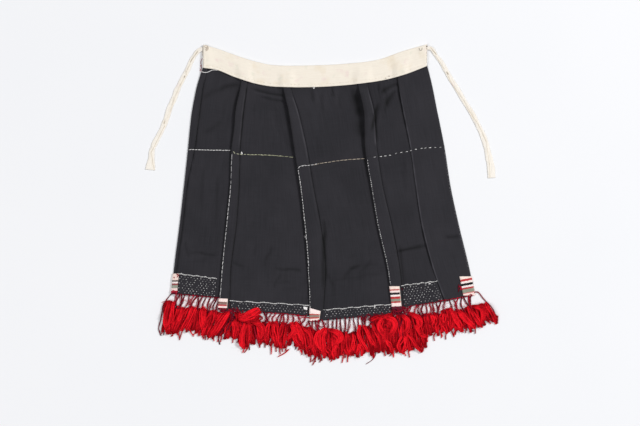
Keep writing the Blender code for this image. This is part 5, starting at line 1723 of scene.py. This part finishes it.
def skein(rng, line, gaps, level, bow, tones):
    """Loops of yarn, one inside the other, along a middle line from head to foot, and the tones of each."""
    t = np.linspace(0, 1, LEG_POINTS)
    knots = list(zip(np.linspace(0, 1, len(line)), line))
    wander = rng.uniform(0.3, 0.9)
    columns = [[(at, place[axis]) for at, place in knots] for axis in (0, 1)]
    course = np.array([[smooth(share, column) for column in columns] for share in t])
    paths, own_tones = [], []
    for gap in gaps:
        shift = mix(rng.normal(0, 0.5, 2), rng.normal(0, 1.0, 2), t[:, None])
        middle = course + shift
        ahead = np.gradient(middle, axis=0)
        ahead /= np.linalg.norm(ahead, axis=1, keepdims=True)
        middle += ahead * (rng.uniform(-3.0, 3.0) * t**2)[:, None]
        side = np.stack([ahead[:, 1], -ahead[:, 0]], axis=1)
        bent = bow * np.sin(np.pi * t) + rng.normal(0, 0.5) * np.sin(2 * np.pi * t)
        middle += bent[:, None] * side
        half = np.maximum(gap * (0.5 + 0.5 * np.sin(np.pi * t**0.85)), 1.1)
        legs = []
        for way in (1, -1):
            sway = waver(rng, t, wander, 5, 12)
            height = 1.6 + level * ease(t / 0.16) * (1 - 0.8 * ease((t - 0.5) / 0.5))
            height += waver(rng, t, 0.45, 6, 11)
            legs.append(np.column_stack([middle + (way * half + sway)[:, None] * side, height]))
        turns = []
        for end, way in ((-1, 1), (0, -1)):
            centre = (legs[0][end] + legs[1][end]) / 2
            angles = np.linspace(0, np.pi, TURN_POINTS + 2)[1:-1, None]
            bend = np.cos(angles) * side[end] + 1.25 * np.sin(angles) * ahead[end]
            turn = centre[:2] + half[end] * way * bend
            turns.append(np.column_stack([turn, np.full(TURN_POINTS, centre[2])]))
        path = np.concatenate([legs[0], turns[0], legs[1][::-1], turns[1]])
        path[:, 2] = np.maximum(path[:, 2], YARN_FLOOR)
        paths.append(path)
        shade = 0.2 * np.sin(t * rng.uniform(4, 8) + rng.uniform(0, 6)) - 0.25 * (1 - ease(t / 0.16))
        shade += rng.uniform(*tones) - 0.35 * ease((t - 0.75) / 0.25)
        foot, head = (np.full(TURN_POINTS, shade[end]) for end in (-1, 0))
        lit = [shade + 0.1, foot, shade[::-1] - 0.15, head]
        own_tones.append(np.clip(np.concatenate(lit), 0, 1))
    return paths, own_tones


def cut_end(rng, start, reach, level):
    """One cut yarn that comes out of the wool and lies on the board."""
    x, y = start
    bend = rng.normal(0, 2.0)
    t = np.linspace(0, 1, 12)
    lean = rng.normal(0, 0.22)
    across = x + lean * reach * t + bend * np.sin(np.pi * t)
    return np.column_stack([across, y - reach * t, mix(level, 1.4, ease(t * 1.3))])


def tassel_yarns(number, head_x, top, lean, bottom):
    """The lower loops and the cut ends of one tassel: a flat layer on the board and four skeins over it."""
    rng = np.random.default_rng(300 + number)
    head_y, foot_y = top - HEAD_SET, bottom + FOOT_SET
    spread = 0.7 if number == 1 else 1.0  # the outermost tassel on the left is thinner than the rest
    head_x += (1 - spread) * 9
    loops, tones = [], []

    def add_skein(offset, gaps, level, sunk, foot_rise, shade):
        head = (head_x + 0.92 * spread * offset, head_y - sunk - 0.035 * offset**2)
        foot = (head_x + lean + 1.1 * spread * offset + rng.normal(0, 1.6), foot_y + foot_rise)
        made, made_tones = skein(rng, (head, foot), gaps, level, rng.normal(0, 2.8) * spread, shade)
        loops.extend(made)
        tones.extend(made_tones)

    # The layer on the board is painted darker than the skeins over it, tones 0 to 0.3, as painted shade deep
    # in the pile.
    for offset in LOWER_SKEINS:
        add_skein(offset + rng.normal(0, 0.4), (1.7,), 0.0, 1.0, rng.uniform(1, 6), (0.0, 0.3))
    for offset in OVER_SKEINS:
        gap = rng.uniform(1.2, 2.8)
        place, sunk, foot_rise = offset + rng.normal(0, 1.0), rng.uniform(-0.5, 2), rng.uniform(-2, 4)
        add_skein(place, (gap,), 2.7, sunk, foot_rise, (0.15, 0.75))
    ends = []
    for _ in range(3):
        start = (head_x + lean + rng.uniform(-8, 8), foot_y + rng.uniform(4, 12))
        ends.append(cut_end(rng, start, rng.uniform(12, 22), rng.uniform(1.5, 3.5)))
        tones.append(rng.uniform(0.0, 0.8))
    return loops, ends, tones


def wool_hairs(rng, loops, count):
    """Short curved hairs that stand out of the yarns."""
    hairs = []
    for _ in range(count):
        loop = loops[rng.integers(len(loops))]
        root = loop[rng.integers(len(loop))]
        turn, length, rise = rng.uniform(0, 2 * np.pi), rng.uniform(3.0, 8.0), rng.uniform(0.1, 1.6)
        t = np.linspace(0, 1, 5)
        curl = turn + rng.normal(0, 0.8) * t
        run = length * t
        hair = root + np.column_stack([run * np.cos(curl), run * np.sin(curl), 0.9 + rise * t])
        hair[:, 2] = np.maximum(hair[:, 2], HAIR_FLOOR)
        hairs.append(hair)
    return hairs


# The skeins that lie uppermost: tassel, places along the middle, gaps, level, least and most tone.
TOP_SKEINS = (
    (1, ((-265.3, -171.5), (-270.5, -190), (-272.4, -206.2), (-268, -225)), (1.3,), 5.0, 0.4, 0.9),
    (1, ((-258, -173), (-261.3, -195.6), (-268.6, -216.9)), (1.4,), 6.0, 0.6, 1.0),
    (1, ((-258.7, -190), (-262, -208), (-263.3, -224)), (2.6,), 3.0, 0.4, 0.8),
    (2, ((-236, -185), (-245.3, -200.9), (-254.7, -216.9), (-258.7, -226)), (1.3,), 5.0, 0.5, 0.9),
    (2, ((-242, -183), (-246, -198.2), (-250.7, -214.2)), (1.5,), 6.4, 0.8, 1.0),
    (3, ((-226.7, -183), (-232, -199.5), (-241.4, -218)), (1.4,), 5.6, 0.5, 1.0),
    (3, ((-218.7, -184), (-224, -202.2), (-234.7, -221)), (1.6,), 5.0, 0.6, 1.0),
    (4, ((-212.1, -185), (-217.4, -199.5), (-223.5, -219)), (1.3,), 5.6, 0.3, 0.8),
    (4, ((-206.7, -184.5), (-206.7, -199.5), (-205.4, -220.9)), (1.6, 4.6), 5.2, 0.6, 1.0),
    (5, ((-189.4, -188), (-198.7, -203.5), (-206.7, -219.5)), (1.5,), 5.6, 0.5, 0.9),
    (5, ((-184, -189), (-187, -206), (-197, -226)), (1.4,), 5.0, 0.3, 0.7),
    (6, ((-165.5, -191), (-180.1, -210.2), (-192.1, -230)), (1.6,), 5.6, 0.7, 1.0),
    (6, ((-159.5, -190), (-172.1, -207.5), (-184.1, -227)), (1.5,), 6.2, 0.6, 1.0),
    (7, ((-153.1, -204), (-149.2, -218.2), (-151.8, -233)), (1.6, 4.2), 5.4, 0.7, 1.0),
    (7, ((-145.5, -208), (-142.2, -219), (-144.6, -232)), (1.6,), 5.0, 0.6, 0.9),
    (8, ((-130.8, -206), (-136.2, -224.8), (-138.2, -243.5), (-135.5, -252)), (1.5, 3.0), 5.2, 0.7, 1.0),
    (8, ((-125.5, -208), (-124.2, -228.8), (-126.9, -242)), (1.5,), 5.4, 0.5, 0.9),
    (7, ((-150, -192), (-146, -199), (-148, -210)), (1.5,), 3.0, 0.1, 0.4),
    (7, ((-160, -208), (-166, -222), (-168, -234)), (1.5,), 3.5, 0.3, 0.7),
    (8, ((-143, -190), (-140, -197), (-139, -206)), (1.4,), 3.0, 0.1, 0.3),
    (8, ((-128, -199), (-117, -200), (-109, -198)), (1.6, 3.2), 4.0, 0.0, 0.3),
    (8, ((-132, -203.5), (-122, -205), (-108, -206)), (1.4, 3.4), 4.4, 0.0, 0.25),
    (8, ((-143, -203), (-131, -201.5), (-119, -197), (-109.5, -190.5)), (1.7,), 5.6, 0.4, 0.7),
    (8, ((-147, -198), (-135, -195), (-122, -187.5), (-113, -183)), (1.6,), 6.2, 0.9, 1.2),
    (8, ((-146, -200.5), (-134, -198.5), (-121, -192), (-110, -186.5)), (1.8,), 7.6, 0.8, 1.1),
    (9, ((-120.2, -206), (-104.2, -211.5), (-98.9, -226.2), (-106.9, -238)), (1.5, 3.0), 5.6, 0.7, 1.0),
    (9, ((-110.9, -211.5), (-106.9, -224.8), (-108.2, -235.5)), (1.4,), 5.0, 0.5, 0.9),
    (10, ((-90.5, -208), (-94.5, -221.7), (-95.2, -237.6)), (1.6,), 5.4, 0.6, 0.9),
    (10, ((-79.2, -210), (-78.5, -225.6), (-76.5, -242)), (4.6,), 5.4, 0.8, 1.0),
    (11, ((-68.5, -209), (-69.9, -221.7), (-73.2, -237.6)), (1.5,), 5.6, 0.5, 0.9),
    (11, ((-53.2, -210), (-47.2, -220.3), (-51.9, -228.3), (-59.9, -235)), (1.5, 3.0), 5.8, 0.8, 1.0),
    (12, ((-43.9, -208), (-38.6, -221.7), (-30.6, -237.6)), (1.4, 2.9), 6.0, 0.8, 1.0),
    (12, ((-50, -228), (-44, -240), (-34, -250)), (1.5,), 4.0, 0.3, 0.7),
    (13, ((-31.9, -217), (-19.9, -228.3), (-17.3, -247), (-23.9, -254.9)), (1.5,), 5.6, 0.7, 1.0),
    (13, ((-24, -226), (-18, -242), (-10, -262)), (1.4,), 4.0, 0.4, 0.8),
    (14, ((5.3, -219), (-5.3, -228.3), (-6.6, -243), (0, -254.9)), (1.5, 3.2), 6.2, 0.8, 1.0),
    (14, ((8, -220), (2.7, -235), (6.7, -262)), (1.5,), 5.4, 0.6, 0.9),
    (15, ((13.3, -221), (27.3, -224.6), (32.6, -234.6), (25.3, -242.6), (16.7, -238)), (1.4, 2.9),
     6.4, 0.8, 1.0),
    (15, ((16, -229), (24, -231), (27, -236), (20, -239)), (1.4,), 5.4, 0.3, 0.8),
    (15, ((27, -245), (20.6, -256), (21.3, -269)), (1.8,), 4.8, 0.7, 1.0),
    (14, ((-12, -226), (-3, -232), (-2, -246)), (1.5, 3.0), 4.6, 0.4, 0.9),
    (15, ((6, -246), (12, -256), (14, -266)), (1.5,), 3.8, 0.3, 0.8),
    (16, ((34, -228), (37, -243), (36, -260)), (1.5,), 4.2, 0.3, 0.9),
    (16, ((42.6, -225), (44.6, -241.6), (49.3, -259)), (1.6,), 5.4, 0.5, 0.9),
    (17, ((54.6, -226), (54.6, -243), (58.6, -260)), (1.5,), 5.6, 0.7, 1.0),
    (17, ((67.9, -243), (63.3, -254.9), (61.3, -264)), (1.4,), 3.6, 0.7, 1.0),
    (18, ((65.9, -214), (64.6, -227), (71.9, -243), (78.6, -254.9)), (1.5,), 6.0, 0.8, 1.0),
    (18, ((73.3, -215), (85.2, -237.6), (93.2, -249.6)), (1.6,), 5.6, 0.6, 1.0),
    (19, ((84, -203), (96, -199), (110, -195.5)), (1.5,), 2.6, 0.1, 0.5),
    (20, ((98, -201.5), (108, -197.5), (120, -193.5)), (1.6,), 3.4, 0.3, 0.7),
    (19, ((87.9, -210), (97.2, -231), (99.9, -243)), (1.5,), 5.4, 0.6, 0.9),
    (19, ((106.5, -200.4), (99.9, -211), (102.5, -224.3), (112, -232)), (1.4, 3.0), 6.4, 0.8, 1.0),
    (20, ((110.3, -198.5), (123.6, -202.8), (127.6, -213.5), (121, -226.8), (110.3, -232.1)), (1.4, 2.9),
     6.6, 0.8, 1.0),
    (20, ((110.3, -206.5), (119.6, -208.2), (121, -216.1), (113, -221.5)), (1.3,), 5.8, 0.5, 0.9),
    (20, ((106, -213), (112, -210), (118, -213.5), (117, -219)), (1.4,), 5.2, 0.4, 0.9),
    (20, ((104, -222), (110, -218), (113, -219)), (1.4,), 4.6, 0.2, 0.7),
    (20, ((110.3, -236), (118.3, -246.8), (122, -258)), (1.5,), 4.2, 0.5, 0.9),
    (21, ((131, -205), (130, -220), (132, -236)), (1.5,), 4.0, 0.1, 0.6),
    (21, ((138, -207), (139, -220), (137, -234)), (1.4,), 4.4, 0.3, 0.8),
    (21, ((124.6, -218), (126.6, -231), (127.4, -246)), (1.5, 2.9), 2.4, 0.1, 0.5),
    (21, ((140.9, -194), (150.2, -202.8), (148.9, -218.8), (139.6, -225.5)), (1.4, 2.8), 5.8, 0.6, 1.0),
    (21, ((140.9, -229.5), (134.3, -242.8), (135.6, -258)), (1.5,), 5.0, 0.7, 1.0),
    (21, ((146.2, -229.5), (146.2, -246.8), (142.3, -259)), (1.5,), 5.2, 0.6, 1.0),
    (22, ((154.2, -192), (167.5, -200.2), (168.9, -212.2), (160.9, -218.8)), (1.5, 3.0), 6.0, 0.8, 1.0),
    (22, ((162.2, -213.5), (171.5, -226.8), (182, -231.5)), (1.5,), 4.8, 0.7, 1.0),
    (22, ((150.2, -226.8), (163.6, -245.4), (172.5, -255)), (1.6,), 5.2, 0.5, 0.9),
    (24, ((188.9, -193), (194.2, -202.8), (190.2, -214.8)), (1.6,), 5.4, 0.6, 1.0),
    (24, ((196.8, -193), (202.2, -205.5), (196.8, -218.8)), (1.5,), 5.0, 0.4, 0.9),
    (25, ((212.8, -191.5), (213.2, -202), (213.5, -212)), (3.2, 6.6), 6.0, 0.7, 1.0),
    (25, ((223.5, -185), (234.1, -202.8), (240.8, -219)), (1.4, 3.0), 6.0, 0.8, 1.0),
    (26, ((228.8, -191), (230.1, -206.8), (224.8, -219)), (1.5,), 4.8, 0.5, 0.9),
    (26, ((238.1, -188), (251.4, -202.8), (263.4, -213.5)), (1.5, 2.8), 6.0, 0.8, 1.0),
    (27, ((260.7, -187), (268.7, -200.2), (278.1, -213)), (1.6,), 5.4, 0.6, 1.0),
    (27, ((263.4, -179.5), (276, -182.9), (281, -194.8), (279.4, -210)), (1.4, 2.9), 6.0, 0.7, 1.0),
    (28, ((284.7, -175), (294.7, -189.5), (301.4, -203)), (1.5,), 5.6, 0.6, 1.0),
    (28, ((279, -178), (286, -191), (292, -202)), (1.5,), 4.8, 0.4, 0.9),
)
WOOL_ENDS = (  # cut ends that can be told apart: tassel, places and tone
    (3, ((-232.5, -206.2, 4.6), (-242.9, -224.1, 2.6), (-247.3, -238, 1.2)), 0.2),
    (4, ((-213.3, -223.6, 1.3), (-223.8, -228.8, 1.2)), 0.5),
    (4, ((-208.1, -218.4, 2.6), (-206.4, -228, 1.3), (-205.3, -236.8, 1.2)), 0.3),
    (10, ((-88.4, -246.7, 1.8), (-87.4, -255, 1.3), (-88, -262.9, 1.2)), 0.6),
    (11, ((-57.2, -254.3, 2.4), (-65.4, -261.5, 1.3), (-75.9, -266.9, 1.2)), 0.4),
    (24, ((208.8, -220.6, 2.2), (208.4, -228, 1.3), (208.8, -234.6, 1.2)), 0.5),
    (25, ((225.2, -220.6, 2.2), (228, -227, 1.3), (230.2, -232.8, 1.2)), 0.1),
    (20, ((121.6, -252, 2.2), (123.6, -260, 1.3), (124.9, -266.8, 1.2)), 0.4),
    (22, ((167, -238, 3.0), (171.6, -249, 2.0), (174.2, -258.9, 1.2)), 0.2),
)

red_wool = yarn("red_wool_yarn", "#80000A", "#FA1828", 0.95, 0.06, YARN_PITCH, 0.3, "#FF5060")
hairs = []
for number, tassel in enumerate(TASSELS, 1):
    loops, ends, tones = tassel_yarns(number, FIRST_HEAD + (number - 1) * TASSEL_PITCH, *tassel)
    rng = np.random.default_rng(400 + number)
    extra_tones = []
    for owner, line, gaps, level, least_tone, most_tone in TOP_SKEINS:
        if owner == number:
            fine_gaps = sum(((0.5 * gap, gap + 1.0) for gap in gaps), ())
            made, made_tones = skein(rng, line, fine_gaps, level, 0.0, (least_tone - 0.15, most_tone))
            loops += made
            extra_tones += made_tones
    ring_tones = tones[: len(tones) - len(ends)] + extra_tones
    end_tones = tones[len(tones) - len(ends) :]
    for owner, points, tone in WOOL_ENDS:
        if owner == number:
            ends.append(cord_path(points, 16))
            end_tones.append(tone)
    under = len(loops) - len(extra_tones)
    thickness = [YARN_THICKNESS * rng.uniform(0.88, 1.1) for loop in loops[:under]]
    thickness += [FINE_YARN * rng.uniform(0.88, 1.12) for loop in loops[under:]]
    thickness += [YARN_THICKNESS * 0.85 * np.linspace(1.05, 0.7, len(end)) for end in ends]
    all_tones = ring_tones + end_tones
    name = f"wool_tassel_{number:02d}"
    wool = strands(name, loops + ends, thickness, all_tones, 7, len(loops), 0.13, YARN_PITCH)
    dress(wool, red_wool, "red_wool", f"tassel_{number:02d}")
    hairs += wool_hairs(rng, loops, HAIRS)
rng = np.random.default_rng(12)
for head_x, top in heads[1:-2]:  # the down caught among the strings of the net
    for _ in range(NET_HAIRS):
        root = np.array([(head_x + rng.uniform(-11, 11), top + rng.uniform(-2, 12), rng.uniform(0.2, 1.2))])
        hairs += wool_hairs(rng, [root], 1)
hair_tones = list(np.random.default_rng(9).uniform(0.5, 1.0, len(hairs)))
hair_widths = [HAIR_THICKNESS * np.array([1, 0.9, 0.8, 0.6, 0.3])] * len(hairs)
fluff = strands("wool_fluff", hairs, hair_widths, hair_tones, sides=3)
dress(fluff, red_wool, "red_wool")
